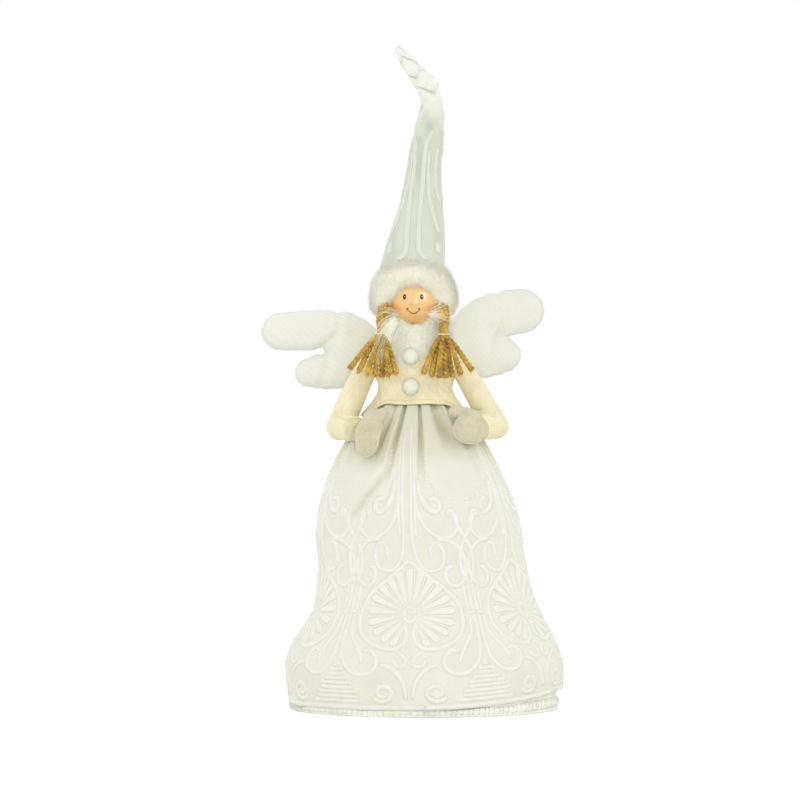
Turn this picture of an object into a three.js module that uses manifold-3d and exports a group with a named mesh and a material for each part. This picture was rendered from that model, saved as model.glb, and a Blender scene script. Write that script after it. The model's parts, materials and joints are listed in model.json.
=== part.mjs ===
// A standing fabric angel: a weighted sack body in an embroidered skirt, a jersey bodice with bent
// stuffed arms and felt mittens, plush wings, a ball head with yarn pigtails, and a tall pointed hat.
// Millimetres, +Z up. The figure faces -Y; left and right are as seen from the front, so left is -X.
// The origin is the middle of the underside of the base.
import * as THREE from 'three';
import { LoftGeometry } from 'three/addons/geometries/LoftGeometry.js';
import { mergeVertices } from 'three/addons/utils/BufferGeometryUtils.js';
import Module from 'manifold-3d';

// Clearance between pieces that are sewn, glued or laid against each other
const SEAM_GAP = 0.3;
// How far the facets of the bodice may stand outside its curve
const FACET_ALLOWANCE = 0.2;
// Clearance round the ball ends that turn in their sockets
const JOINT_GAP = 0.6;

// Base: a cloth cover below, a card stiffener and a bag of granules inside the sack
const BASE_COVER_THICKNESS = 2;
const BASE_BOARD_THICKNESS = 3;
const WEIGHT_BAG_WIDTH = 122;
const WEIGHT_BAG_DEPTH = 98;
const WEIGHT_BAG_HEIGHT = 26;

// Skirt: full width and depth at the hem, flare, hip, belly, shoulder and waist, and the rises between them
const HEM_LIFT = 6;
const HEM_WIDTH = 190;
const HEM_DEPTH = 158;
const FLARE_RISE = 27;
const FLARE_WIDTH = 191;
const FLARE_DEPTH = 160;
const HIP_RISE = 58;
const HIP_WIDTH = 145;
const HIP_DEPTH = 124;
const BELLY_RISE = 58;
const BELLY_WIDTH = 131;
const BELLY_DEPTH = 112;
const SKIRT_SHOULDER_RISE = 38;
const SKIRT_SHOULDER_WIDTH = 97;
const SKIRT_SHOULDER_DEPTH = 82;
const WAIST_RISE = 27;
const WAIST_WIDTH = 57;
const WAIST_DEPTH = 42;
const SKIRT_CLOTH = 1.5;
const PLEAT_COUNT = 12;
const PLEAT_DEPTH = 2.6;
// The body leans this far to the left between the flare of the skirt and its shoulder
const BODY_LEAN = 6;

// Bodice: full width and depth at its waist, chest, shoulder and neck, and the rises between them
const BODICE_CLOTH = 1.4;
const BODICE_HEM_DROP = 4;
const BODICE_WAIST_RISE = 9;
const BODICE_WAIST_WIDTH = 52;
const BODICE_WAIST_DEPTH = 39;
const CHEST_RISE = 15;
const CHEST_WIDTH = 57;
const CHEST_DEPTH = 42;
const SHOULDER_RISE = 9;
const SHOULDER_WIDTH = 50;
const SHOULDER_DEPTH = 35;
const NECK_RISE = 8;
const NECK_WIDTH = 27;
const NECK_DEPTH = 23;

// Arms: stuffed tubes; angles run from straight sideways towards the front, around the skirt
const UPPER_ARM_RADIUS = 9.3;
const SHOULDER_SPREAD = 2.5;
const FOREARM_ELBOW_RADIUS = 10;
const FOREARM_WRIST_RADIUS = 9;
const FOREARM_LENGTH = 30;
const FOREARM_CONTACT_DROP = 23;
const FOREARM_LIFT = 45;
const FOREARM_ANGLE = 20;
const KNUCKLES_ANGLE = 48;
const MITTEN_TIP_ANGLE = 59;
const MITTEN_TIP_DROP = 7;
const WRIST_INSET = 2;
const PALM_HALF_WIDTH = 13;
const PALM_TIP_HALF_WIDTH = 10;
const PALM_TIP_ROUND = 8;
const PALM_HALF_THICKNESS = 7;
const PALM_LIFT = 1;
const THUMB_LENGTH = 16;
const THUMB_RADIUS = 5.4;

// Head and neck
const HEAD_DIAMETER = 33;
const HEAD_FORWARD = 3;
const NOSE_DIAMETER = 5;
const NECK_LENGTH = 17;
const DOWEL_DIAMETER = 6;
const DOWEL_TORSO_DEPTH = 22;
const DOWEL_HEAD_DEPTH = 13;
const COLLAR_MID_RADIUS = 14;
const COLLAR_HALF_THICKNESS = 6;
const COLLAR_HALF_HEIGHT = 9;

// Pom-pom buttons down the bodice front, measured from the waist
const POM_POM_DIAMETER = 12;
const POM_POM_LOWER_RISE = 11;
const POM_POM_PITCH = 21;

// Pigtails: yarn strands packed round a middle one, bound by a thread
const YARN_DIAMETER = 3.4;
const YARN_RING_COUNT = 6;
const YARN_RING_TURN = 15;
const PIGTAIL_SPREAD = 21;
const PIGTAIL_FORWARD = 10;
const PIGTAIL_TIE_DROP = 26;
const PIGTAIL_TIE_SPREAD = 24;
const PIGTAIL_CHEST_CLEARANCE = 1;
const PIGTAIL_TAIL_LENGTH = 27;
const PIGTAIL_FAN_ANGLE = 36;
const PIGTAIL_SWING = 35;
const TIE_THREAD_DIAMETER = 1.4;

// Hat: fur brim tipped back on the head, a stuffed cone that leans, and a soft bent tip
const HAT_TILT = 24;
const HAT_CLOTH = 1.2;
const BRIM_RISE = 9;
const BRIM_MID_RADIUS = 22.5;
const BRIM_HALF_THICKNESS = 8.6;
const BRIM_HALF_HEIGHT = 10.5;
const CONE_HEIGHT = 116;
const CONE_BASE_RADIUS = 22;
const CONE_MID_RADIUS = 13.4;
const CONE_BEND_RADIUS = 7.4;
const CONE_SIDE_LEAN = 12;
const CONE_BACK_LEAN = 17;
const TIP_LENGTH = 45;
const TIP_ANGLE = 32;
const TIP_CURL = 10;
const TIP_INSET = 1;
const TIP_END_RADIUS = 2.2;
const TIP_DROOP = 30;

// Wings: two stuffed lobes each, in a plane that turns about the seam on the back
const WING_ROOT_RISE = 35;
const WING_ROOT_SPREAD = 10;
const WING_ROOT_HALF_HEIGHT = 12;
const WING_ROOT_HALF_THICKNESS = 5;
const LOBE_HALF_WIDTH = 14;
const LOBE_HALF_THICKNESS = 8;
const UPPER_LOBE_REACH = 84;
const UPPER_LOBE_RISE = 16;
const LOWER_LOBE_REACH = 66;
const LOWER_LOBE_DROP = 13;
const WING_POSES = { left: { sweep: 8, roll: 0 }, right: { sweep: 28, roll: 14 } };

// Facets
const SKIRT_COLUMNS = PLEAT_COUNT * 4;
const BODY_COLUMNS = 24;
const LIMB_SIDES = 10;
const YARN_SIDES = 6;
const BALL_COLUMNS = 18;
const BALL_ROWS = 10;
const ROUND_END_ANGLES = [22, 48, 72];

const SIDES = { left: -1, right: 1 };
const UP = new THREE.Vector3(0, 0, 1);
const BACKWARD = new THREE.Vector3(0, 1, 0);
const { degToRad, lerp, smoothstep } = THREE.MathUtils;

const wasm = await Module();
wasm.setup();

// Materials, from the photographed colours
const cloth = (color, roughness = 0.9) => new THREE.MeshStandardMaterial({ color, roughness, metalness: 0 });
const materials = {
  lace: cloth(0xeeefe2),
  hatLace: cloth(0xd9ddca),
  cotton: cloth(0xf0f0e2),
  card: cloth(0xb59b72),
  granules: cloth(0xd8d2c0),
  jersey: cloth(0xeee2bb),
  felt: cloth(0xd3cfb3),
  plush: cloth(0xf1f2e8),
  brimFur: cloth(0xece9d4),
  longFur: cloth(0xf2f2ec),
  yarn: cloth(0xb98c38),
  thread: cloth(0xe6dcb8),
  skin: cloth(0xf3c586, 0.45),
  wood: cloth(0xc9a26b, 0.7),
  filling: cloth(0xf7f7f4),
};

// Solids for cutting and joining

// A closed geometry as a solid, with its shared vertices merged.
function solidOf(geometry) {
  const bare = new THREE.BufferGeometry();
  bare.setAttribute('position', geometry.getAttribute('position').clone());
  bare.setIndex(geometry.getIndex());
  const merged = mergeVertices(bare, 1e-4);
  return new wasm.Manifold(new wasm.Mesh({
    numProp: 3,
    vertProperties: new Float32Array(merged.getAttribute('position').array),
    triVerts: new Uint32Array(merged.getIndex().array),
  }));
}

// A solid back as a geometry.
function geometryOf(solid) {
  const { numProp, numVert, vertProperties, triVerts } = solid.getMesh();
  const positions = new Float32Array(numVert * 3);
  for (let i = 0; i < numVert; i++) positions.set(vertProperties.subarray(i * numProp, i * numProp + 3), i * 3);
  const geometry = new THREE.BufferGeometry();
  geometry.setAttribute('position', new THREE.BufferAttribute(positions, 3));
  geometry.setIndex(new THREE.BufferAttribute(triVerts, 1));
  geometry.computeVertexNormals();
  return geometry;
}

const cut = (geometry, ...tools) =>
  geometryOf(tools.reduce((left, tool) => left.subtract(solidOf(tool)), solidOf(geometry)));
const join = (...geometries) => geometryOf(geometries.map(solidOf).reduce((all, one) => all.add(one)));

// Forms

// One oval ring at a height, drawn in and out by a ripple that depends on the angle.
function ovalRing(x, z, halfWidth, halfDepth, columns, ripple = () => 0) {
  return Array.from({ length: columns }, (_, i) => {
    const angle = (i / columns) * 2 * Math.PI;
    const swell = ripple(angle);
    return new THREE.Vector3(
      x + (halfWidth + swell) * Math.cos(angle),
      (halfDepth + swell) * Math.sin(angle),
      z,
    );
  });
}

const solidLoft = (rings) => new LoftGeometry(rings, { capStart: true, capEnd: true });

// An open-ended shell: up the outside, down the inside and back to the first ring.
const shellLoft = (outside, inside) => new LoftGeometry([...outside, ...inside.toReversed(), outside[0]]);

// Evenly spaced values from low to high, both included.
const steps = (low, high, count) => Array.from({ length: count + 1 }, (_, i) => lerp(low, high, i / count));

// A stuffed tube along a curve. Wide and thick give its half sizes at a share of the length, and thick
// lies along the normal. A round end is half a ball about the end of the curve.
function stuffedTube(curve, { wide, thick = wide, normal, count, sides = LIMB_SIDES, roundStart, roundEnd }) {
  const rings = [];
  const addRing = (share, ahead, shrink) => {
    const along = curve.getTangentAt(share);
    const side = new THREE.Vector3().crossVectors(along, normal).normalize();
    const out = new THREE.Vector3().crossVectors(side, along);
    const at = curve.getPointAt(share).addScaledVector(along, ahead);
    rings.push(Array.from({ length: sides }, (_, i) => {
      const angle = (i / sides) * 2 * Math.PI;
      return at.clone()
        .addScaledVector(out, thick(share) * shrink * Math.cos(angle))
        .addScaledVector(side, wide(share) * shrink * Math.sin(angle));
    }));
  };
  const ends = ROUND_END_ANGLES.map(degToRad);
  if (roundStart) for (const a of ends) addRing(0, -roundStart * Math.cos(a), Math.sin(a));
  for (const share of steps(0, 1, count)) addRing(share, 0, 1);
  if (roundEnd) for (const a of ends.toReversed()) addRing(1, roundEnd * Math.cos(a), Math.sin(a));
  return solidLoft(rings);
}

// A closed fur ring about the Z axis with an oval section.
function furRing(midRadius, halfThickness, halfHeight, columns, sides) {
  const sections = steps(0, 2 * Math.PI, columns).map((turn, index) => {
    const angle = index === columns ? 0 : turn;
    return Array.from({ length: sides }, (_, i) => {
      const around = (i / sides) * 2 * Math.PI;
      const radius = midRadius + halfThickness * Math.cos(around);
      const height = -halfHeight * Math.sin(around);
      return new THREE.Vector3(radius * Math.cos(angle), radius * Math.sin(angle), height);
    });
  });
  return new LoftGeometry(sections);
}

const ball = (radius) => new THREE.SphereGeometry(radius, BALL_COLUMNS, BALL_ROWS).rotateX(Math.PI / 2);

// A round pin along Z between two heights.
function pin(radius, low, high) {
  const shape = new THREE.CylinderGeometry(radius, radius, high - low, 16);
  return shape.rotateX(Math.PI / 2).translate(0, 0, (low + high) / 2);
}

const part = new THREE.Group();

function addPiece(group, name, geometry, material) {
  const piece = new THREE.Mesh(geometry, material);
  piece.name = name;
  group.add(piece);
  return piece;
}

// Skirt surface

const skirtHeights = [HEM_LIFT, FLARE_RISE, HIP_RISE, BELLY_RISE, SKIRT_SHOULDER_RISE, WAIST_RISE]
  .reduce((heights, rise) => [...heights, (heights.at(-1) ?? 0) + rise], []);
const [hemZ, flareZ, hipZ, bellyZ, skirtShoulderZ, waistZ] = skirtHeights;
// The rows of the skirt, closer where it curves
const skirtRows = [
  hemZ, flareZ, lerp(flareZ, hipZ, 0.33), lerp(flareZ, hipZ, 0.66), hipZ, bellyZ,
  lerp(bellyZ, skirtShoulderZ, 0.5), skirtShoulderZ, lerp(skirtShoulderZ, waistZ, 0.5), waistZ,
];
const skirtForm = new THREE.CubicInterpolant(skirtHeights, [
  HEM_WIDTH, HEM_DEPTH, FLARE_WIDTH, FLARE_DEPTH, HIP_WIDTH, HIP_DEPTH, BELLY_WIDTH, BELLY_DEPTH,
  SKIRT_SHOULDER_WIDTH, SKIRT_SHOULDER_DEPTH, WAIST_WIDTH, WAIST_DEPTH,
].map((size) => size / 2), 2);

// Half width and half depth of the skirt at a height, before its pleats.
function skirtHalf(z) {
  const [halfWidth, halfDepth] = skirtForm.evaluate(z);
  return { halfWidth, halfDepth };
}

const leanAt = (z) => -BODY_LEAN * smoothstep(z, flareZ, skirtShoulderZ);
const pleatAt = (z) => PLEAT_DEPTH * smoothstep(z, hipZ, skirtShoulderZ);

// A skirt ring set in from the outside by a distance.
function skirtRing(z, inset) {
  const { halfWidth, halfDepth } = skirtHalf(z);
  const depth = pleatAt(z);
  const ripple = (angle) => depth * Math.cos(PLEAT_COUNT * angle) - depth;
  return ovalRing(leanAt(z), z, halfWidth - inset, halfDepth - inset, SKIRT_COLUMNS, ripple);
}

// A point lifted off the skirt along its normal. The angle runs from sideways to the front.
function offSkirt(side, angleDegrees, z, lift) {
  const angle = degToRad(angleDegrees);
  const at = (a, h) => {
    const { halfWidth, halfDepth } = skirtHalf(h);
    return new THREE.Vector3(leanAt(h) + side * halfWidth * Math.cos(a), -halfDepth * Math.sin(a), h);
  };
  const small = 0.01;
  const here = at(angle, z);
  const around = at(angle + small, z).sub(here);
  const upward = at(angle, z + small).sub(here);
  const normal = new THREE.Vector3().crossVectors(upward, around).multiplyScalar(side).normalize();
  return { point: here.addScaledVector(normal, lift), normal };
}

// Base and body

function buildBody() {
  const sackBottom = BASE_COVER_THICKNESS + SEAM_GAP;
  const boardTop = sackBottom + BASE_BOARD_THICKNESS;
  const bagBottom = boardTop + SEAM_GAP;
  const bagTop = bagBottom + WEIGHT_BAG_HEIGHT;
  const sackInset = SKIRT_CLOTH + SEAM_GAP;
  const bagHalf = { width: WEIGHT_BAG_WIDTH / 2, depth: WEIGHT_BAG_DEPTH / 2 };

  const sackRing = (z) => {
    const { halfWidth, halfDepth } = skirtHalf(Math.max(z, hemZ));
    const inset = sackInset + 2 * pleatAt(z);
    return ovalRing(leanAt(z), z, halfWidth - inset, halfDepth - inset, BODY_COLUMNS);
  };
  const hollowRing = (z, shrink) =>
    ovalRing(0, z, bagHalf.width * shrink + SEAM_GAP, bagHalf.depth * shrink + SEAM_GAP, BODY_COLUMNS);

  // A flat pouch: full at the bottom, rounded over at the top
  const bagShares = [[0, 0.94], [0.25, 1], [0.55, 0.96], [0.85, 0.72], [1, 0.4]];
  const bagRings = bagShares.map(([rise, shrink]) =>
    ovalRing(0, lerp(bagBottom, bagTop, rise), bagHalf.width * shrink, bagHalf.depth * shrink, BODY_COLUMNS));
  addPiece(part, 'weight_bag', solidLoft(bagRings), materials.granules);

  // The sack is open below, around the pouch and its board
  const hollow = solidLoft([
    hollowRing(0, 1),
    hollowRing(lerp(bagBottom, bagTop, 0.55), 1),
    hollowRing(lerp(bagBottom, bagTop, 0.85) + SEAM_GAP, 0.8),
    hollowRing(bagTop + SEAM_GAP, 0.45),
  ]);
  const sackRows = [sackBottom, ...skirtRows.slice(0, -1), waistZ - SEAM_GAP];
  addPiece(part, 'body_sack', cut(solidLoft(sackRows.map(sackRing)), hollow), materials.cotton);

  const boardRings = [sackBottom, boardTop].map((z) =>
    ovalRing(0, z, bagHalf.width, bagHalf.depth, BODY_COLUMNS));
  addPiece(part, 'base_board', solidLoft(boardRings), materials.card);

  const { halfWidth, halfDepth } = skirtHalf(hemZ);
  const coverRings = [0, BASE_COVER_THICKNESS].map((z) =>
    ovalRing(0, z, halfWidth - sackInset, halfDepth - sackInset, SKIRT_COLUMNS));
  addPiece(part, 'base_cover', solidLoft(coverRings), materials.cotton);
}

function buildSkirt() {
  const outside = skirtRows.map((z) => skirtRing(z, 0));
  const inside = skirtRows.map((z) => skirtRing(z, SKIRT_CLOTH));
  addPiece(part, 'skirt', shellLoft(outside, inside), materials.lace);
}

// Bodice surface, from the hem over the skirt up to the neck

const bodiceHemZ = waistZ - BODICE_HEM_DROP;
const bodiceHeights = [BODICE_WAIST_RISE, CHEST_RISE, SHOULDER_RISE, NECK_RISE]
  .reduce((heights, rise) => [...heights, heights.at(-1) + rise], [waistZ]);
const [, bodiceWaistZ, chestZ, shoulderZ, neckZ] = bodiceHeights;
const hemHalf = skirtHalf(bodiceHemZ);
const bodiceForm = new THREE.CubicInterpolant([bodiceHemZ, bodiceWaistZ, chestZ, shoulderZ, neckZ], [
  hemHalf.halfWidth + SEAM_GAP + BODICE_CLOTH, hemHalf.halfDepth + SEAM_GAP + BODICE_CLOTH,
  BODICE_WAIST_WIDTH / 2, BODICE_WAIST_DEPTH / 2, CHEST_WIDTH / 2, CHEST_DEPTH / 2,
  SHOULDER_WIDTH / 2, SHOULDER_DEPTH / 2, NECK_WIDTH / 2, NECK_DEPTH / 2,
], 2);

function bodiceHalf(z) {
  const [halfWidth, halfDepth] = bodiceForm.evaluate(z);
  return { halfWidth, halfDepth };
}

function bodiceRing(z, inset) {
  const { halfWidth, halfDepth } = bodiceHalf(z);
  return ovalRing(-BODY_LEAN, z, halfWidth - inset, halfDepth - inset, BODY_COLUMNS);
}

// How far from the middle of the bodice an upright oval stands when it just meets the front or back.
function bodiceSeat(z, halfHeight, halfThickness, spread) {
  const seatAt = (share) => {
    const { halfWidth, halfDepth } = bodiceHalf(Math.min(z + share * halfHeight, neckZ));
    const surface = halfDepth * Math.sqrt(Math.max(0, 1 - (spread / halfWidth) ** 2));
    return surface + halfThickness * Math.sqrt(1 - share ** 2);
  };
  return Math.max(...steps(-1, 1, 24).map(seatAt)) + SEAM_GAP;
}

// Head

const headRadius = HEAD_DIAMETER / 2;
const headCentre = new THREE.Vector3(-BODY_LEAN, -HEAD_FORWARD, neckZ + NECK_LENGTH + headRadius);

// Arms

// Where an arm turns. The forearm is straight, touches the skirt at its middle and lifts straight off it.
function armLines(side) {
  const contactZ = waistZ - FOREARM_CONTACT_DROP;
  const lie = (angle, lift, drop = 0) => offSkirt(side, angle, contactZ - drop, lift + SEAM_GAP);
  const middle = lie(FOREARM_ANGLE, FOREARM_ELBOW_RADIUS);
  const ahead = lie(FOREARM_ANGLE + 1, FOREARM_ELBOW_RADIUS).point.sub(middle.point).normalize();
  const elbow = middle.point.clone().addScaledVector(ahead, -FOREARM_LENGTH / 2);
  const wrist = middle.point.clone().addScaledVector(ahead, FOREARM_LENGTH / 2);
  const liftAxis = new THREE.Vector3().crossVectors(ahead, middle.normal).normalize();
  const { halfWidth } = bodiceHalf(chestZ);
  const shoulder = new THREE.Vector3(-BODY_LEAN + side * (halfWidth + SHOULDER_SPREAD), 0, chestZ);
  return { shoulder, elbow, wrist, ahead, lie, liftAxis };
}

function upperArm({ shoulder, elbow }, grow) {
  const radius = UPPER_ARM_RADIUS + grow;
  return stuffedTube(new THREE.LineCurve3(shoulder, elbow), {
    wide: () => radius, normal: BACKWARD, count: 2, roundStart: radius, roundEnd: radius,
  });
}

function forearm({ elbow, wrist }, grow) {
  return stuffedTube(new THREE.LineCurve3(elbow, wrist), {
    wide: (share) => lerp(FOREARM_ELBOW_RADIUS, FOREARM_WRIST_RADIUS, share) + grow,
    normal: UP, count: 2, roundStart: FOREARM_ELBOW_RADIUS + grow,
  });
}

// A palm that lies on the skirt beyond the cuff, with a thumb towards the waist.
function mitten({ elbow, wrist, ahead, lie }) {
  const start = wrist.clone().addScaledVector(ahead, SEAM_GAP);
  const cuff = forearm({ elbow, wrist: start }, SEAM_GAP);
  const knuckles = lie(KNUCKLES_ANGLE, PALM_HALF_THICKNESS + PALM_LIFT, MITTEN_TIP_DROP / 2);
  const tip = lie(MITTEN_TIP_ANGLE, PALM_HALF_THICKNESS + PALM_LIFT, MITTEN_TIP_DROP);
  const palmSizes = [FOREARM_WRIST_RADIUS - WRIST_INSET, PALM_HALF_WIDTH, PALM_TIP_HALF_WIDTH];
  const palmWide = new THREE.CubicInterpolant([0, 0.55, 1], palmSizes, 1);
  const palmSpine = [start, start.clone().addScaledVector(ahead, WRIST_INSET), knuckles.point, tip.point];
  const palm = stuffedTube(new THREE.CatmullRomCurve3(palmSpine), {
    wide: (share) => palmWide.evaluate(share)[0], thick: () => PALM_HALF_THICKNESS,
    normal: knuckles.normal, count: 4, roundEnd: PALM_TIP_ROUND,
  });
  const upSlope = UP.clone().addScaledVector(knuckles.normal, -UP.dot(knuckles.normal)).normalize();
  const thumbRoot = knuckles.point.clone().addScaledVector(upSlope, THUMB_RADIUS);
  const thumbTip = thumbRoot.clone().addScaledVector(upSlope, THUMB_LENGTH - THUMB_RADIUS)
    .addScaledVector(ahead, THUMB_LENGTH / 3);
  const thumb = stuffedTube(new THREE.LineCurve3(thumbRoot, thumbTip), {
    wide: () => THUMB_RADIUS, normal: knuckles.normal, count: 1,
    roundStart: THUMB_RADIUS, roundEnd: THUMB_RADIUS,
  });
  return cut(join(palm, thumb), cuff);
}

const arms = { left: armLines(SIDES.left), right: armLines(SIDES.right) };

function buildArms() {
  for (const name of Object.keys(SIDES)) {
    const lines = arms[name];
    const { shoulder, elbow } = lines;
    const arm = new THREE.Group();
    arm.position.copy(shoulder);
    part.add(arm);
    const fold = new THREE.Group();
    fold.position.copy(elbow).sub(shoulder);
    arm.add(fold);
    const toShoulder = shoulder.clone().negate().toArray();
    const toElbow = elbow.clone().negate().toArray();
    const liftedForearm = (angle) => forearm(lines, JOINT_GAP).translate(...toElbow)
      .applyMatrix4(new THREE.Matrix4().makeRotationAxis(lines.liftAxis, degToRad(angle)))
      .translate(...elbow.toArray());
    const upper = cut(upperArm(lines, 0), ...steps(0, FOREARM_LIFT, 2).map(liftedForearm));
    addPiece(arm, `upper_arm_${name}`, upper.translate(...toShoulder), materials.jersey);
    addPiece(fold, `forearm_${name}`, forearm(lines, 0).translate(...toElbow), materials.jersey);
    addPiece(fold, `mitten_${name}`, mitten(lines).translate(...toElbow), materials.felt);
  }
}

function buildBodice() {
  const sleeves = Object.values(arms).map((lines) => upperArm(lines, JOINT_GAP));
  const heights = [
    bodiceHemZ, waistZ, lerp(waistZ, bodiceWaistZ, 0.5), ...steps(bodiceWaistZ, chestZ, 3),
    shoulderZ, lerp(shoulderZ, neckZ, 0.6), neckZ,
  ];
  const outside = heights.map((z) => bodiceRing(z, 0));
  const inside = heights.map((z) => bodiceRing(z, BODICE_CLOTH));
  addPiece(part, 'bodice', cut(shellLoft(outside, inside), ...sleeves), materials.jersey);

  const fillingTop = neckZ - SEAM_GAP;
  const fillingHeights = [waistZ + SEAM_GAP, ...heights.slice(2, -1), fillingTop];
  const filling = solidLoft(fillingHeights.map((z) => bodiceRing(z, BODICE_CLOTH + SEAM_GAP)));
  const socket = pin(DOWEL_DIAMETER / 2 + SEAM_GAP, neckZ - DOWEL_TORSO_DEPTH - SEAM_GAP, neckZ + 1)
    .translate(headCentre.x, headCentre.y, 0);
  addPiece(part, 'torso_filling', cut(filling, socket, ...sleeves), materials.filling);
}

function buildPomPoms() {
  const radius = POM_POM_DIAMETER / 2;
  const rises = { lower: POM_POM_LOWER_RISE, upper: POM_POM_LOWER_RISE + POM_POM_PITCH };
  for (const [place, rise] of Object.entries(rises)) {
    const z = waistZ + rise;
    const pomPom = addPiece(part, `pom_pom_${place}`, new THREE.SphereGeometry(radius, 14, 9), materials.longFur);
    pomPom.position.set(-BODY_LEAN, -bodiceSeat(z, radius, radius, 0) - FACET_ALLOWANCE, z);
  }
}

function buildHead() {
  const group = new THREE.Group();
  group.position.copy(headCentre);
  part.add(group);

  const nose = ball(NOSE_DIAMETER / 2).translate(0, -headRadius, -NOSE_DIAMETER / 4);
  const dowelTop = -headRadius + DOWEL_HEAD_DEPTH;
  const bore = pin(DOWEL_DIAMETER / 2 + SEAM_GAP, -headRadius - 1, dowelTop + SEAM_GAP);
  addPiece(group, 'head', cut(join(ball(headRadius), nose), bore), materials.skin);

  const dowelBottom = -headRadius - NECK_LENGTH - DOWEL_TORSO_DEPTH;
  addPiece(group, 'neck_dowel', pin(DOWEL_DIAMETER / 2, dowelBottom, dowelTop), materials.wood);

  const collar = furRing(COLLAR_MID_RADIUS, COLLAR_HALF_THICKNESS, COLLAR_HALF_HEIGHT, 18, 8);
  addPiece(group, 'fur_collar', collar, materials.longFur)
    .position.set(0, 0, -headRadius - NECK_LENGTH + COLLAR_HALF_HEIGHT + SEAM_GAP);
}

// Hat, in a frame at the middle of the head

const hatTurn = new THREE.Matrix4().makeRotationX(-degToRad(HAT_TILT));
const brimCentre = new THREE.Vector3(0, 0, BRIM_RISE).applyMatrix4(hatTurn);

function brimRing(grow) {
  const ring = furRing(BRIM_MID_RADIUS, BRIM_HALF_THICKNESS + grow, BRIM_HALF_HEIGHT + grow, BODY_COLUMNS, 10);
  return ring.applyMatrix4(hatTurn).translate(...brimCentre.toArray());
}

// The cone's middle line and radius at a share of its height. It starts inside the brim, which trims it.
function coneAt(share) {
  return {
    at: new THREE.Vector3(
      CONE_SIDE_LEAN * share,
      brimCentre.y + CONE_BACK_LEAN * Math.sin((share * Math.PI) / 2),
      brimCentre.z + BRIM_HALF_HEIGHT + CONE_HEIGHT * share,
    ),
    radius: 2 * (share - 0.5) * (share - 1) * CONE_BASE_RADIUS
      + 4 * share * (1 - share) * CONE_MID_RADIUS
      + 2 * share * (share - 0.5) * CONE_BEND_RADIUS,
  };
}

function coneRing(share, inset) {
  const { at, radius } = coneAt(share);
  return ovalRing(0, 0, radius - inset, radius - inset, BODY_COLUMNS).map((point) => point.add(at));
}

function hatTip(grow) {
  const start = coneAt(1).at;
  const turn = (angle) => new THREE.Vector3(-Math.sin(degToRad(angle)), 0, Math.cos(degToRad(angle)));
  const middle = start.clone().addScaledVector(turn(TIP_ANGLE + TIP_CURL), TIP_LENGTH / 2);
  const end = middle.clone().addScaledVector(turn(TIP_ANGLE - TIP_CURL), TIP_LENGTH / 2);
  const baseRadius = CONE_BEND_RADIUS - TIP_INSET;
  return stuffedTube(new THREE.CatmullRomCurve3([start, middle, end]), {
    wide: (share) => lerp(baseRadius, TIP_END_RADIUS, share) + grow,
    normal: BACKWARD, count: 5, roundStart: baseRadius + grow, roundEnd: TIP_END_RADIUS,
  });
}

function buildHat() {
  const hat = new THREE.Group();
  hat.position.copy(headCentre);
  part.add(hat);

  const headRoom = ball(headRadius + SEAM_GAP);
  addPiece(hat, 'hat_brim', cut(brimRing(0), headRoom), materials.brimFur);

  const coneShares = [-0.06, 0.1, 0.3, 0.55, 0.8, 1];
  const outside = coneShares.map((share) => coneRing(share, 0));
  const inside = coneShares.map((share) => coneRing(share, HAT_CLOTH));
  const bend = coneAt(1).at;
  const toBend = bend.clone().negate().toArray();
  const droopedTip = (angle) => hatTip(JOINT_GAP).translate(...toBend)
    .rotateY(-degToRad(angle)).translate(...bend.toArray());
  const tips = steps(0, TIP_DROOP, 2).map(droopedTip);
  addPiece(hat, 'hat_cone', cut(shellLoft(outside, inside), brimRing(SEAM_GAP), ...tips), materials.hatLace);

  const fillingShares = [0.04, 0.1, 0.3, 0.55, 0.8, 0.92];
  const filling = solidLoft(fillingShares.map((share) => coneRing(share, HAT_CLOTH + SEAM_GAP)));
  addPiece(hat, 'hat_filling', cut(filling, brimRing(SEAM_GAP), headRoom, ...tips), materials.filling);

  const tip = new THREE.Group();
  tip.position.copy(bend);
  hat.add(tip);
  addPiece(tip, 'hat_tip', hatTip(0).translate(...toBend), materials.hatLace);
}

// Pigtails, in a frame at the middle of the head

// The places of the strands in a bundle: one in the middle and a ring round it.
function bundlePlaces(side) {
  const pitch = YARN_DIAMETER + SEAM_GAP;
  const ring = steps(0, 360, YARN_RING_COUNT).slice(0, -1).map((turn) => {
    const angle = degToRad(turn + YARN_RING_TURN);
    return new THREE.Vector2(side * pitch * Math.cos(angle), pitch * Math.sin(angle));
  });
  return [new THREE.Vector2(0, 0), ...ring];
}

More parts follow.
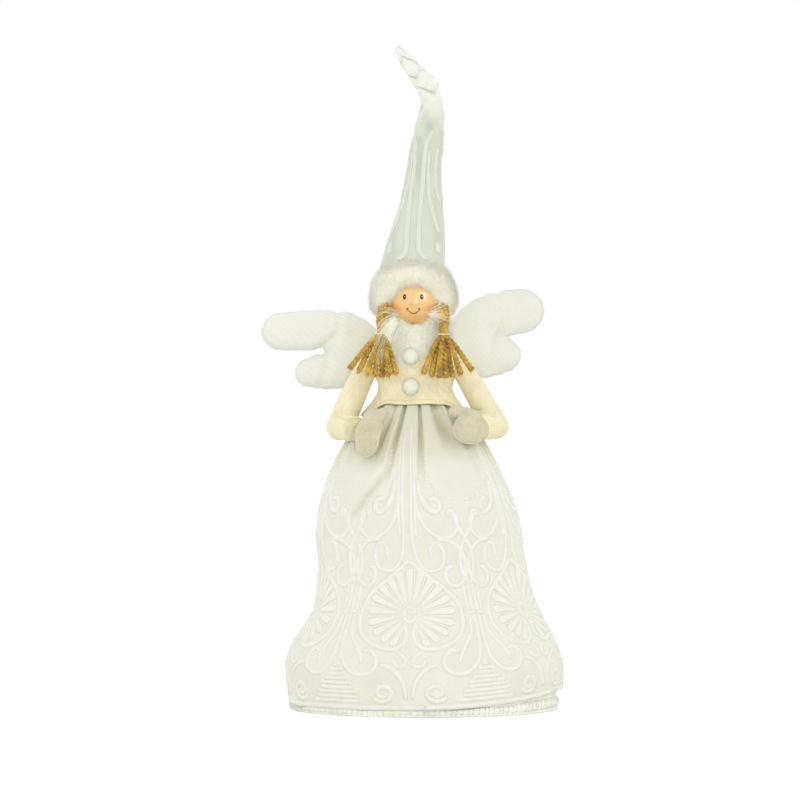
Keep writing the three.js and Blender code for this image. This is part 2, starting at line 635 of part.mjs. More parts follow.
function buildPigtails() {
  const pitch = YARN_DIAMETER + SEAM_GAP;
  const bundleRadius = pitch + YARN_DIAMETER / 2;
  const tieY = HEAD_FORWARD - bodiceHalf(chestZ).halfDepth - bundleRadius - PIGTAIL_CHEST_CLEARANCE;
  for (const [name, side] of Object.entries(SIDES)) {
    const root = new THREE.Vector3(side * PIGTAIL_SPREAD, -PIGTAIL_FORWARD, 0);
    const tie = new THREE.Vector3(side * PIGTAIL_TIE_SPREAD, tieY, -PIGTAIL_TIE_DROP);
    const swing = new THREE.Group();
    swing.position.copy(headCentre).add(root);
    part.add(swing);
    const toRoot = root.clone().negate().toArray();
    // The brim as the pigtail meets it over the swing, so the strands end clear of it
    const brims = steps(0, PIGTAIL_SWING, 3).map((angle) =>
      brimRing(SEAM_GAP).translate(...toRoot).rotateX(degToRad(angle)));

    // The thread pinches the outer strands, so it cuts a groove in them
    const tieRadius = TIE_THREAD_DIAMETER / 2;
    const tieAt = tie.clone().sub(root);
    const thread = (grow) => furRing(bundleRadius + tieRadius, tieRadius + grow, tieRadius + grow, 14, 6);
    const groove = thread(SEAM_GAP).translate(...tieAt.toArray());
    addPiece(swing, `pigtail_tie_${name}`, thread(0), materials.thread).position.copy(tieAt);

    bundlePlaces(side).forEach((place, index) => {
      const across = (at, spread) => at.clone().add(new THREE.Vector3(place.x * spread, place.y * spread, 0));
      const fan = degToRad((place.x / pitch) * PIGTAIL_FAN_ANGLE);
      const endDrop = PIGTAIL_TAIL_LENGTH * Math.cos(fan);
      const end = across(tie, 1).add(new THREE.Vector3(PIGTAIL_TAIL_LENGTH * Math.sin(fan), 0, -endDrop));
      const spine = [
        across(root, 1.15).add(new THREE.Vector3(0, 0, BRIM_HALF_HEIGHT)),
        across(root.clone().lerp(tie, 0.5), 1.2), across(tie, 1),
        across(tie, 1.1).add(new THREE.Vector3(0, 0, -pitch)), end,
      ].map((point) => point.sub(root));
      const strand = stuffedTube(new THREE.CatmullRomCurve3(spine), {
        wide: () => YARN_DIAMETER / 2, normal: BACKWARD, count: 8, sides: YARN_SIDES,
      });
      addPiece(swing, `yarn_${name}_${index + 1}`, cut(strand, groove, ...brims), materials.yarn);
    });
  }
}

// Wings, each in a frame at its seam on the back

// A lobe leaves the seam level, then rises or drops in a plane turned up by the roll.
function wingLobe(side, reach, rise, roll) {
  const turn = degToRad(roll);
  const rolled = (x, z) => new THREE.Vector3(
    side * (x * Math.cos(turn) - z * Math.sin(turn)), 0, x * Math.sin(turn) + z * Math.cos(turn));
  const spine = new THREE.CatmullRomCurve3([
    new THREE.Vector3(0, 0, 0),
    new THREE.Vector3(side * WING_ROOT_HALF_HEIGHT, 0, 0),
    rolled(reach * 0.5, rise * 0.8),
    rolled(reach, rise),
  ]);
  const swell = (root, full) => (share) => lerp(root, full, Math.sin((Math.min(share * 1.5, 1) * Math.PI) / 2));
  return stuffedTube(spine, {
    wide: swell(WING_ROOT_HALF_HEIGHT, LOBE_HALF_WIDTH),
    thick: swell(WING_ROOT_HALF_THICKNESS, LOBE_HALF_THICKNESS),
    normal: BACKWARD, count: 6, roundStart: WING_ROOT_HALF_THICKNESS, roundEnd: LOBE_HALF_WIDTH,
  });
}

function buildWings() {
  const rootZ = waistZ + WING_ROOT_RISE;
  const seat = bodiceSeat(rootZ, WING_ROOT_HALF_HEIGHT, WING_ROOT_HALF_THICKNESS, WING_ROOT_SPREAD)
    - FACET_ALLOWANCE;
  for (const [name, side] of Object.entries(SIDES)) {
    const { sweep, roll } = WING_POSES[name];
    const seam = new THREE.Group();
    seam.position.set(-BODY_LEAN + side * WING_ROOT_SPREAD, seat, rootZ);
    seam.rotation.z = side * degToRad(sweep);
    part.add(seam);
    const upper = wingLobe(side, UPPER_LOBE_REACH, UPPER_LOBE_RISE, roll);
    const lower = wingLobe(side, LOWER_LOBE_REACH, -LOWER_LOBE_DROP, roll);
    addPiece(seam, `wing_${name}`, join(upper, lower), materials.plush);
  }
}

buildBody();
buildSkirt();
buildBodice();
buildArms();
buildPomPoms();
buildHead();
buildHat();
buildPigtails();
buildWings();

export default part;
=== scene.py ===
"""A standing fabric angel: its cloth, fur, yarn and paint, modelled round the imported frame.

Points are worked out in millimetres in the frame's own axes and become metres when a mesh is made.
The figure faces -Y; left and right are as seen from the front, so left is -X. An angle round the
figure starts at the front and grows towards +X.
"""
import json
import math

import bpy
import numpy as np
from bpy.props import FloatProperty, FloatVectorProperty, IntProperty, PointerProperty
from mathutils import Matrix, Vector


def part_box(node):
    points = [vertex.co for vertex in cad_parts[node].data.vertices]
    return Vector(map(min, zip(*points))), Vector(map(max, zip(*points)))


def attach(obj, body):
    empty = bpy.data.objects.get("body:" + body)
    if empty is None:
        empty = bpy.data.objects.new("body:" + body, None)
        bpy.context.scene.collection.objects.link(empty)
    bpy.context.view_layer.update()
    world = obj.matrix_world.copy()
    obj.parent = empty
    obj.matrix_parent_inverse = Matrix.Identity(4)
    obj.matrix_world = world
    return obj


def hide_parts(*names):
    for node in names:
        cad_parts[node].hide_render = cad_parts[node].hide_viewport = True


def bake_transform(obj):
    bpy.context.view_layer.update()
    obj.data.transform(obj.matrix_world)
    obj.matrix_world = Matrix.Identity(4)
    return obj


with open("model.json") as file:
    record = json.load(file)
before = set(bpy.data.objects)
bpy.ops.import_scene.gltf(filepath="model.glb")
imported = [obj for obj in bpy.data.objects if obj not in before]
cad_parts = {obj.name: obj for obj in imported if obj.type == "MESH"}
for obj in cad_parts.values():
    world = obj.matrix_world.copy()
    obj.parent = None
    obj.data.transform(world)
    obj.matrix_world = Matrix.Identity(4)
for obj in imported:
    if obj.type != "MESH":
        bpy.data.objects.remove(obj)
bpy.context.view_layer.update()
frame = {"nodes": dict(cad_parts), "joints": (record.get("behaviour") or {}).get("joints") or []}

bl_info = {
    "name": "Fabric angel figurine",
    "version": (1, 0, 0),
    "blender": (4, 5, 0),
    "location": "View3D > Sidebar > Figurine",
    "description": "Models the cloth, fur, yarn and paint of a standing fabric angel round its frame",
    "category": "Object",
}

MM = 0.001
SIDES = {"left": -1, "right": 1}
UP = np.array((0.0, 0.0, 1.0))
BACKWARD = np.array((0.0, 1.0, 0.0))

# Skirt: heights from the hem to the waist, with half widths and half depths there
SKIRT_HEIGHTS = (6.0, 33.0, 91.0, 149.0, 187.0, 214.0)
SKIRT_HALF_WIDTHS = (95.0, 95.5, 72.5, 65.5, 48.5, 28.5)
SKIRT_HALF_DEPTHS = (79.0, 80.0, 62.0, 56.0, 41.0, 21.0)
HEM_Z, FLARE_Z, HIP_Z, _, SKIRT_SHOULDER_Z, WAIST_Z = SKIRT_HEIGHTS
BODY_LEAN = 6.0
HEM_LOW = 4.5
HEM_RISE = 10.0
# Deep folds in front: angle, depth, height where the fold fades, half width in degrees, and drift in
# degrees for each millimetre of height
FRONT_FOLDS = (
    (-30.0, 3.0, 165.0, 3.5, 0.10),
    (-16.2, 7.5, 146.0, 2.4, 0.12),
    (4.5, 6.5, 142.0, 2.0, 0.05),
    (29.0, 7.5, 170.0, 8.0, -0.05),
)
SIDE_FOLD_COUNT = 14
# The height at which the angles of the folds are given, and the one where they are deepest
FOLD_ANGLE_Z = 196.0
FOLD_DEEPEST_Z = 203.0
# The slanting tuck below the left mitten: its middle, half length, and how far it puffs out and sinks in
TUCK_ANGLE = -31.0
TUCK_Z = 153.0
TUCK_HALF_LENGTH = 22.0
TUCK_PUFF = 2.2
TUCK_GROOVE = 2.6
TUCK_MM_PER_DEGREE = 1.05
SKIRT_COLUMNS = 440
SKIRT_ROWS = 104

# Bodice: heights from the hem to the neck, with half widths and half depths there
BODICE_HEIGHTS = (210.0, 223.0, 238.0, 247.0, 255.0)
BODICE_HALF_WIDTHS = (33.5, 26.0, 28.5, 25.0, 13.5)
BODICE_HALF_DEPTHS = (26.0, 19.5, 21.0, 17.5, 11.5)
BODICE_HEM_FRONT = 213.0
BODICE_HEM_SIDE = 205.0

# Arms, head, hat and pigtails
FOREARM_LENGTH = 24.0
HEAD_RADIUS = 16.5
FACE_TURN = -6.0
CONE_HEIGHT = 116.0
CONE_BACK_LEAN = 17.0
TIE_Y = -27.4
TAIL_LENGTH = 27.0

# One embroidered motif, drawn for one half and mirrored: cords as (width share, points), each point
# (across from the middle, height)
MOTIF_ANGLE = -6.4
MOTIF_HALF = 46.0
# Middle and width in degrees of each motif round the skirt
MOTIFS = ((-66.0, 66.0), (0.0, 66.0), (66.0, 66.0), (126.0, 54.0), (180.0, 54.0), (234.0, 54.0))
MEDALLION_Z = 69.5
MOTIF_CORDS = (
    # Rim of the medallion
    (1.3, ((0.0, 106.2), (9.7, 98.5), (18.4, 92.2), (27.0, 86.0), (33.0, 78.5), (35.5, 68.0), (33.2, 58.0),
           (27.5, 51.5), (18.0, 47.0), (9.0, 46.5), (3.6, 51.0), (2.2, 58.0), (4.6, 64.0))),
    # Stems above it, with a scroll at the foot
    (1.1, ((3.7, 196.0), (3.7, 154.0), (3.7, 117.6), (5.6, 109.0), (8.5, 103.5), (14.0, 99.0),
           (20.0, 99.0), (26.0, 102.5), (27.6, 108.5), (26.0, 115.0), (22.5, 118.0), (18.6, 116.3),
           (16.8, 111.5), (18.5, 107.5))),
    (0.8, ((6.8, 184.0), (6.8, 160.0), (6.6, 140.0), (6.2, 122.0))),
    # Upper scroll, and the scroll that hangs from it
    (1.2, ((6.8, 160.0), (7.0, 147.0), (9.0, 137.5), (13.0, 130.0), (19.0, 124.5), (26.0, 121.5),
           (33.0, 121.5), (38.5, 125.5), (40.3, 131.6), (38.5, 137.7), (34.1, 140.4), (32.8, 135.1))),
    (1.3, ((22.0, 120.5), (33.0, 119.0), (39.0, 115.5), (43.0, 110.0), (44.8, 103.6), (43.7, 96.0),
           (39.5, 90.5), (33.5, 88.5), (29.0, 91.5), (27.8, 97.0), (30.5, 101.5), (34.5, 101.0))),
    # Leaves
    (1.7, ((10.0, 162.0), (11.5, 152.0), (15.0, 144.0), (21.0, 139.5), (27.0, 139.0))),
    (1.5, ((17.0, 147.0), (23.5, 148.2), (27.0, 143.5), (25.5, 138.8))),
    # Crossing loops, stems and foot between two motifs
    (1.2, ((37.0, 142.0), (38.0, 134.0), (42.0, 127.0), (46.0, 121.0), (50.0, 114.0), (51.5, 105.0),
           (50.0, 96.6), (46.5, 90.5))),
    (1.0, ((44.0, 90.0), (44.0, 80.0), (44.0, 71.0))),
    (1.0, ((40.5, 90.0), (40.5, 80.0), (40.5, 71.0))),
    (0.9, ((39.0, 70.5), (42.5, 70.5), (46.0, 70.5))),
    (1.2, ((44.2, 69.5), (44.2, 54.0), (43.4, 44.0), (40.5, 36.0), (35.5, 30.5), (29.5, 28.5), (23.5, 30.3),
           (20.0, 35.5), (20.8, 41.0), (25.4, 45.5), (29.5, 43.5))),
    (1.1, ((41.0, 69.5), (39.5, 57.0), (34.0, 48.0), (31.0, 42.0), (29.0, 36.0))),
    # Under the medallion
    (1.1, ((8.5, 45.5), (3.2, 41.0), (2.0, 36.0), (4.5, 34.3), (8.5, 36.0), (9.3, 40.0))),
    (1.3, ((1.8, 12.0), (3.0, 21.0), (6.5, 28.8), (12.0, 34.0), (18.0, 36.0))),
)
BEAD_CHAIN = ((18.4, 180.6), (17.5, 167.5), (20.2, 161.0), (21.9, 156.0), (27.0, 151.7), (34.0, 148.0),
              (41.0, 147.0))
BEAD_SPACING = 2.9
# Spacing of the points of a cord, and its height as a share of its half width
CORD_SPACING = 1.6
CORD_HEIGHT = 0.3
SPIRAL_MIDDLE = (15.4, 16.5)
SPIRAL_RADIUS = 6.8
STEP_LOW, STEP_HIGH, STEP_COUNT = 10.5, 35.0, 9
STEP_WIDTHS = (18.0, 2.0)
RAY_COUNT = 19
RAY_ARC = (-62.0, 242.0)
RAY_REACH = (7.5, 31.5)
RAY_WIDTHS = (0.45, 2.1)

joint_places = {joint["name"]: np.array(joint["pos_m"]) / MM for joint in frame["joints"]}
head_low, head_high = (np.array(corner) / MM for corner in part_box("head"))
HEAD = np.array(((head_low[0] + head_high[0]) / 2, head_high[1] - HEAD_RADIUS, head_high[2] - HEAD_RADIUS))


def linear(red, green, blue):
    """A photographed colour, 0 to 255, as the linear colour that a shader takes."""
    def channel(value):
        share = value / 255
        return share / 12.92 if share <= 0.04045 else ((share + 0.055) / 1.055) ** 2.4
    return channel(red), channel(green), channel(blue)


# Sizes and colours

def size(name, description, default):
    return FloatProperty(name=name, description=description, default=default * MM, unit="LENGTH")


def colour(name, description, red, green, blue):
    return FloatVectorProperty(
        name=name, description=description, default=linear(red, green, blue), subtype="COLOR", min=0, max=1)


class FigurineSizes(bpy.types.PropertyGroup):
    cloth: size("Cloth", "Thickness of the skirt and hat cloth", 0.8)
    cord: size("Cord", "Half width of an embroidered cord", 1.7)
    brim_pile: size("Brim pile", "Length of the fur on the brim", 4.6)
    collar_pile: size("Collar pile", "Length of the fur of the collar", 17.0)
    plush_pile: size("Plush pile", "Length of the nap on the wings", 1.5)
    pom_pile: size("Pom-pom pile", "Length of the fibres on the pom-poms", 1.5)
    yarn: size("Yarn", "Diameter of a yarn strand", 3.6)
    stitch: size("Stitch", "Length of a hem stitch", 2.2)
    yarn_plies: IntProperty(
        name="Plies", description="Plies twisted into a yarn strand", default=2, min=2, max=5)


class FigurineColours(bpy.types.PropertyGroup):
    tulle: colour("Tulle", "Ground of the skirt", 227, 228, 212)
    # The fold and hat fold colours are painted shade, laid in the gathers of the skirt and the creases of the
    # hat
    fold: colour("Folds", "Down in the gathers of the skirt", 202, 197, 166)
    hat_fold_shade: colour("Hat folds", "Down in the creases of the hat", 184, 190, 170)
    cord: colour("Cords", "Embroidery on the skirt", 232, 233, 221)
    hat: colour("Hat", "Ground of the hat", 209, 214, 197)
    hat_tip: colour("Hat tip", "Soft end of the hat", 232, 233, 222)
    cotton: colour("Cotton", "Sack and base cover", 247, 247, 235)
    jersey: colour("Jersey", "Bodice and sleeves", 241, 232, 194)
    felt: colour("Felt", "Mittens", 207, 202, 172)
    plush: colour("Plush", "Wings", 232, 233, 220)
    brim: colour("Brim", "Fur of the hat", 238, 236, 214)
    collar: colour("Collar", "Long fur under the chin", 237, 237, 216)
    pom: colour("Pom-poms", "Buttons down the front", 237, 238, 219)
    yarn: colour("Yarn", "Pigtails", 203, 163, 68)
    thread: colour("Thread", "Ties and stitches", 232, 219, 178)
    skin: colour("Skin", "Painted head", 242, 199, 134)
    blush: colour("Blush", "Cheeks", 238, 150, 104)
    paint: colour("Paint", "Eyes", 40, 26, 18)
    mouth: colour("Mouth", "Painted smile", 140, 82, 40)


# Meshes

WELD_DISTANCE = 0.01
FILLING_STEPS = 20
FIBRE_ROUNDNESS = 0.9


def eased(knots, values, at):
    """A smooth curve through values at knots, read at one or many places."""
    knots, values = np.asarray(knots, float), np.asarray(values, float)
    secants = np.diff(values) / np.diff(knots)
    slopes = np.concatenate([secants[:1], (secants[1:] + secants[:-1]) / 2, secants[-1:]])
    at = np.asarray(at, float)
    span = np.clip(np.searchsorted(knots, at) - 1, 0, len(knots) - 2)
    width = knots[span + 1] - knots[span]
    p = (at - knots[span]) / width
    return ((2 * p**3 - 3 * p**2 + 1) * values[span] + (p**3 - 2 * p**2 + p) * width * slopes[span]
            + (3 * p**2 - 2 * p**3) * values[span + 1] + (p**3 - p**2) * width * slopes[span + 1])


def smoothstep(low, high, at):
    p = np.clip((np.asarray(at, float) - low) / (high - low), 0, 1)
    return p * p * (3 - 2 * p)


def bell(at, middle, width, power=2):
    """A smooth bump of height 1 at its middle."""
    return np.exp(-np.abs((at - middle) / width) ** power)


def unit(vectors):
    return vectors / np.maximum(np.linalg.norm(vectors, axis=-1, keepdims=True), 1e-9)


def full_turn(count):
    """Angles spread evenly over a full turn."""
    return np.arange(count) * 2 * np.pi / count


def wrapped(degrees):
    return (degrees + 180) % 360 - 180


def from_front(angle):
    """An angle round the figure as degrees from the front, between -180 and 180."""
    return wrapped(np.degrees(angle))


def oval(angle, half_width, half_depth, z, middle_x=0.0):
    """Points at angles round a level oval at a height."""
    x, y = middle_x + half_width * np.sin(angle), -half_depth * np.cos(angle)
    return np.stack(np.broadcast_arrays(x, y, z), axis=-1)


def lengths_along(path):
    """The distance along a path to each of its points."""
    return np.concatenate([[0], np.cumsum(np.linalg.norm(np.diff(path, axis=0), axis=1))])


def smooth_path(points, spacing):
    """Points spaced along a smooth curve through a few given ones."""
    points = np.asarray(points, float)
    lengths = lengths_along(points)
    at = np.linspace(0, lengths[-1], max(3, int(lengths[-1] / spacing) + 1))
    return np.stack([eased(lengths, points[:, axis], at) for axis in range(points.shape[1])], axis=1)


def make_piece(name, points, faces, material, corner_uvs=None):
    """A smooth-shaded mesh object from points in millimetres."""
    mesh = bpy.data.meshes.new(name)
    mesh.from_pydata(np.asarray(points, float) * MM, [], faces)
    mesh.shade_smooth()
    if corner_uvs is not None:
        mesh.uv_layers.new(name="Cloth").data.foreach_set("uv", np.asarray(corner_uvs, np.float32).ravel())
    mesh.materials.append(material)
    piece = bpy.data.objects.new(name, mesh)
    bpy.context.scene.collection.objects.link(piece)
    return piece


def grid_faces(rows, columns):
    """Quads of a grid that closes on itself round its columns, with each corner's row and open column."""
    row, column = np.meshgrid(np.arange(rows - 1), np.arange(columns), indexing="ij")
    row, column = row.ravel(), column.ravel()
    corner_rows = np.stack([row, row, row + 1, row + 1], axis=1)
    corner_columns = np.stack([column, column + 1, column + 1, column], axis=1)
    return corner_rows * columns + corner_columns % columns, corner_rows, corner_columns


def ring_piece(name, rings, material, close=False):
    """A surface through rings of points, from the bottom ring up, with its UVs in metres."""
    rows, columns, _ = rings.shape
    faces, corner_rows, corner_columns = grid_faces(rows, columns)
    steps = np.linalg.norm(np.diff(rings, axis=1, append=rings[:, :1]), axis=2)
    around = np.concatenate([[0], np.cumsum(steps[steps.sum(axis=1).argmax()])])
    along = np.linalg.norm(np.diff(rings, axis=0), axis=2).sum(axis=0).max()
    uvs = np.stack([around[corner_columns], corner_rows / (rows - 1) * along], axis=2) * MM
    points = rings.reshape(-1, 3)
    faces = faces.tolist()
    uvs = uvs.reshape(-1, 2)
    if close:
        low, high = len(points), len(points) + 1
        points = np.concatenate([points, [rings[0].mean(axis=0)], [rings[-1].mean(axis=0)]])
        last = (rows - 1) * columns
        faces += [[low, (c + 1) % columns, c] for c in range(columns)]
        faces += [[high, last + c, last + (c + 1) % columns] for c in range(columns)]
        uvs = np.concatenate([uvs, np.zeros((columns * 6, 2))])
    return make_piece(name, points, faces, material, uvs)


def path_frames(path, hint):
    """Unit directions along a path, across it and out of it. The hint points roughly out."""
    along = unit(np.gradient(path, axis=0))
    across = unit(np.cross(along, np.broadcast_to(hint, path.shape)))
    return along, across, np.cross(across, along)


def tube_rings(path, wide, thick, hint, sides):
    """Rings of an oval tube along a path."""
    _, across, out = path_frames(path, hint)
    turn = full_turn(sides)
    wide, thick = (np.broadcast_to(half, len(path))[:, None, None] for half in (wide, thick))
    return (path[:, None] + wide * np.sin(turn)[:, None] * across[:, None]
            + thick * np.cos(turn)[:, None] * out[:, None])


def rounding(path, half_width):
    """Shares of a cord's width along a path that round off its two ends."""
    lengths = lengths_along(path)
    near = np.minimum(lengths, lengths[-1] - lengths) / np.max(half_width)
    return np.sqrt(np.maximum(0.12, 1 - np.clip(1 - near, 0, 1) ** 2))


def cords_piece(name, cords, material, tile=1.0):
    """Many oval cords as one mesh. Each is rings of points, closed at both ends.

    Tile gives the length of cord, in metres, that one UV square covers.
    """
    points, faces, uvs, start = [], [], [], 0
    for rings in cords:
        rows, sides, _ = rings.shape
        quads, corner_rows, corner_columns = grid_faces(rows, sides)
        along = lengths_along(rings[:, 0])[corner_rows] * MM / tile
        last = start + (rows - 1) * sides
        points.append(rings.reshape(-1, 3))
        faces += (quads + start).tolist()
        faces += [[start + c for c in reversed(range(sides))], [last + c for c in range(sides)]]
        uvs.append(np.stack([corner_columns / sides, along], axis=2).reshape(-1, 2))
        uvs.append(np.zeros((sides * 2, 2)))
        start += rows * sides
    return make_piece(name, np.concatenate(points), faces, material, np.concatenate(uvs))


def capsule(start, end, start_radius, end_radius, hint, round_end=True, sides=40, count=24):
    """Rings of a stuffed tube with a round start, and a round or flat end."""
    direction = unit(end - start)
    turns = np.radians(np.linspace(4, 86, 10))
    heads = [(start - direction * start_radius * math.cos(a), start_radius * math.sin(a)) for a in turns]
    middle = [(start + (end - start) * s, start_radius + (end_radius - start_radius) * s)
              for s in np.linspace(0, 1, count)]
    tails = [(end + direction * end_radius * math.cos(a), end_radius * math.sin(a)) for a in turns[::-1]]
    stations = heads + middle + (tails if round_end else [])
    path = np.array([at for at, _ in stations])
    radii = np.array([radius for _, radius in stations])
    across = unit(np.cross(direction, hint))
    out = np.cross(across, direction)
    turn = full_turn(sides)
    circle = np.sin(turn)[:, None] * across + np.cos(turn)[:, None] * out
    return path[:, None] + radii[:, None, None] * circle


def points_of(piece):
    """The points of a mesh, in millimetres."""
    points = np.zeros(len(piece.data.vertices) * 3)
    piece.data.vertices.foreach_get("co", points)
    return points.reshape(-1, 3) / MM


def normals_of(piece):
    normals = np.zeros(len(piece.data.vertices) * 3)
    piece.data.vertices.foreach_get("normal", normals)
    return normals.reshape(-1, 3)


def set_points(piece, points):
    piece.data.vertices.foreach_set("co", (points * MM).astype(np.float32).ravel())
    piece.data.update()


def set_fold_shade(piece, depth):
    """Keeps how deep each point lies in a fold, from 0 to 1, for the material to paint shade there."""
    kept = piece.data.attributes.new("fold", "FLOAT", "POINT")
    kept.data.foreach_set("value", np.asarray(depth, np.float32).ravel())


def select_only(*pieces):
    bpy.ops.object.select_all(action="DESELECT")
    for piece in pieces:
        piece.select_set(True)
    bpy.context.view_layer.objects.active = pieces[0]


def apply_modifier(piece, kind, name, **settings):
    modifier = piece.modifiers.new(name, kind)
    for key, value in settings.items():
        setattr(modifier, key, value)
    select_only(piece)
    bpy.ops.object.modifier_apply(modifier=modifier.name)


def fuse(name, pieces, voxel, smoothing):
    """Joins closed forms into one skin and softens it."""
    select_only(*pieces)
    if len(pieces) > 1:
        bpy.ops.object.join()
    piece = bpy.context.view_layer.objects.active
    piece.name = piece.data.name = name
    apply_modifier(piece, "REMESH", "Skin", mode="VOXEL", voxel_size=voxel * MM)
    apply_modifier(piece, "SMOOTH", "Soften", factor=0.5, iterations=smoothing)
    piece.data.shade_smooth()
    return piece


def weld(piece):
    """Merges points that lie on each other, and turns all faces outwards."""
    select_only(piece)
    bpy.ops.object.mode_set(mode="EDIT")
    bpy.ops.mesh.select_all(action="SELECT")
    bpy.ops.mesh.remove_doubles(threshold=WELD_DISTANCE * MM)
    bpy.ops.mesh.normals_make_consistent(inside=False)
    bpy.ops.object.mode_set(mode="OBJECT")


def copy_of(node, name, material):
    """The merged mesh of a CAD node as a new object."""
    mesh = frame["nodes"][node].data.copy()
    mesh.name = name
    mesh.materials.clear()
    mesh.materials.append(material)
    piece = bpy.data.objects.new(name, mesh)
    bpy.context.scene.collection.objects.link(piece)
    weld(piece)
    return piece


def stuff(piece, pressure, cap, pinned=()):
    """Swells a closed skin as filling does. Pinned points are sewn down, and none moves past the cap."""
    start = points_of(piece)
    cloth = piece.modifiers.new("Filling", "CLOTH")
    cloth.settings.use_pressure = True
    cloth.settings.uniform_pressure_force = pressure
    cloth.settings.effector_weights.gravity = 0
    if len(pinned):
        seam = piece.vertex_groups.new(name="Seam")
        seam.add([int(index) for index in pinned], 1.0, "REPLACE")
        cloth.settings.vertex_group_mass = seam.name
    scene = bpy.context.scene
    for step in range(1, FILLING_STEPS + 1):
        scene.frame_set(step)
    select_only(piece)
    bpy.ops.object.modifier_apply(modifier=cloth.name)
    scene.frame_set(1)
    move = points_of(piece) - start
    reach = np.linalg.norm(move, axis=1, keepdims=True)
    set_points(piece, start + move * np.minimum(1, cap / np.maximum(reach, 1e-6)))
    piece.vertex_groups.clear()


def scatter(piece, count, seed):
    """Places spread evenly over a mesh, with the outward direction at each."""
    random = np.random.default_rng(seed)
    mesh = piece.data
    mesh.calc_loop_triangles()
    corners = np.zeros(len(mesh.loop_triangles) * 3, np.int32)
    mesh.loop_triangles.foreach_get("vertices", corners)
    corners = corners.reshape(-1, 3)
    points, normals = points_of(piece), normals_of(piece)
    a, b, c = (points[corners[:, k]] for k in range(3))
    areas = np.linalg.norm(np.cross(b - a, c - a), axis=1)
    chosen = random.choice(len(corners), count, p=areas / areas.sum())
    u, v = random.random(count), random.random(count)
    folded = u + v > 1
    u[folded], v[folded] = 1 - u[folded], 1 - v[folded]
    weights = np.stack([1 - u - v, u, v], axis=1)[:, :, None]
    picked = corners[chosen]
    return (points[picked] * weights).sum(axis=1), unit((normals[picked] * weights).sum(axis=1))


def tufted(roots, heads, clump, pull, seed):
    """Fibre directions drawn together into tufts of about the clump's number of fibres."""
    random = np.random.default_rng(seed)
    middles = random.choice(len(roots), max(1, len(roots) // clump), replace=False)
    nearest = np.empty(len(roots), int)
    for start in range(0, len(roots), 2000):
        gaps = np.linalg.norm(roots[start:start + 2000, None] - roots[middles][None], axis=2)
        nearest[start:start + 2000] = gaps.argmin(axis=1)
    return unit(heads * (1 - pull) + heads[middles][nearest] * pull), middles[nearest]


def fibres(name, roots, heads, lengths, bends, half_width, levels, material, out=None):
    """Tapered three-sided fibres. Heads are their directions, and bends move a tip by a share of its length.

    Where the way out of the surface below is given, they are shaded partly by it, as a soft pile is.
    """
    count = len(roots)
    across = unit(np.cross(heads, np.array((0.31, 0.59, 0.74))))
    over = np.cross(heads, across)
    shares = np.linspace(0, 1, levels + 1)
    curve = heads[:, None] * shares[:, None] + bends[:, None] * shares[:, None] ** 2
    line = roots[:, None] + lengths[:, None, None] * curve
    turn = full_turn(3)
    circle = np.cos(turn)[:, None] * across[:, None] + np.sin(turn)[:, None] * over[:, None]
    taper = half_width * (1 - 0.7 * shares[:-1])
    body = line[:, :-1, None] + taper[:, None, None] * circle[:, None]
    points = np.concatenate([body.reshape(count, -1, 3), line[:, -1:]], axis=1)
    tip = 3 * levels
    faces = [(0, 2, 1)]
    for level in range(levels - 1):
        for k in range(3):
            a, b = 3 * level + k, 3 * level + (k + 1) % 3
            faces += [(a, b, b + 3), (a, b + 3, a + 3)]
    faces += [(3 * levels - 3 + k, 3 * levels - 3 + (k + 1) % 3, tip) for k in range(3)]
    faces = np.array(faces)
    heights = np.concatenate([np.repeat(shares[:-1], 3), [1.0]])[faces]
    tints = np.random.default_rng(count).random(count)
    uvs = np.stack(np.broadcast_arrays(tints[:, None, None], heights[None]), axis=3)
    every = (faces[None] + (np.arange(count) * (tip + 1))[:, None, None]).reshape(-1, 3)
    piece = make_piece(name, points.reshape(-1, 3), every, material, uvs)
    if out is not None:
        radial = np.concatenate([np.tile(circle, (1, levels, 1)), heads[:, None]], axis=1)
        normals = unit(out[:, None] + FIBRE_ROUNDNESS * radial)
        piece.data.normals_split_custom_set_from_vertices(normals.reshape(-1, 3))
        piece.visible_shadow = False
        piece.visible_diffuse = False
    return piece


# Materials

PAINT_GLOSS = 0.5


def new_material(name, roughness, sheen=0.0, gloss=0.2):
    material = bpy.data.materials.new(name)
    material.use_nodes = True
    shader = material.node_tree.nodes["Principled BSDF"]
    shader.inputs["Roughness"].default_value = roughness
    shader.inputs["Sheen Weight"].default_value = sheen
    shader.inputs["Specular IOR Level"].default_value = gloss
    return material, material.node_tree, shader


def add_node(tree, kind, settings=None, **inputs):
    made = tree.nodes.new(kind)
    for key, value in (settings or {}).items():
        setattr(made, key, value)
    for key, value in inputs.items():
        socket = made.inputs[key.replace("_", " ")]
        if isinstance(value, bpy.types.NodeSocket):
            tree.links.new(value, socket)
        else:
            socket.default_value = value
    return made


def place_of(tree, output="Object"):
    return add_node(tree, "ShaderNodeTexCoord").outputs[output]


def noise(tree, place, scale, detail=3.0):
    return add_node(tree, "ShaderNodeTexNoise", Vector=place, Scale=scale, Detail=detail).outputs["Fac"]


def bands(tree, place, direction, pitch, distortion=0.0):
    """Waves across a direction, with a pitch in millimetres."""
    settings = {"bands_direction": direction, "wave_profile": "SIN"}
    return add_node(tree, "ShaderNodeTexWave", settings, Vector=place, Scale=math.pi / (10 * pitch * MM),
                    Distortion=distortion, Detail=1.0).outputs["Fac"]


def math_node(tree, operation, first, second):
    made = add_node(tree, "ShaderNodeMath", {"operation": operation})
    for socket, value in zip(made.inputs, (first, second)):
        if isinstance(value, bpy.types.NodeSocket):
            tree.links.new(value, socket)
        else:
            socket.default_value = value
    return made.outputs[0]


def weighted(tree, first, first_share, second, second_share):
    """Two values added by their shares."""
    return math_node(tree, "ADD", math_node(tree, "MULTIPLY", first, first_share),
                     math_node(tree, "MULTIPLY", second, second_share))


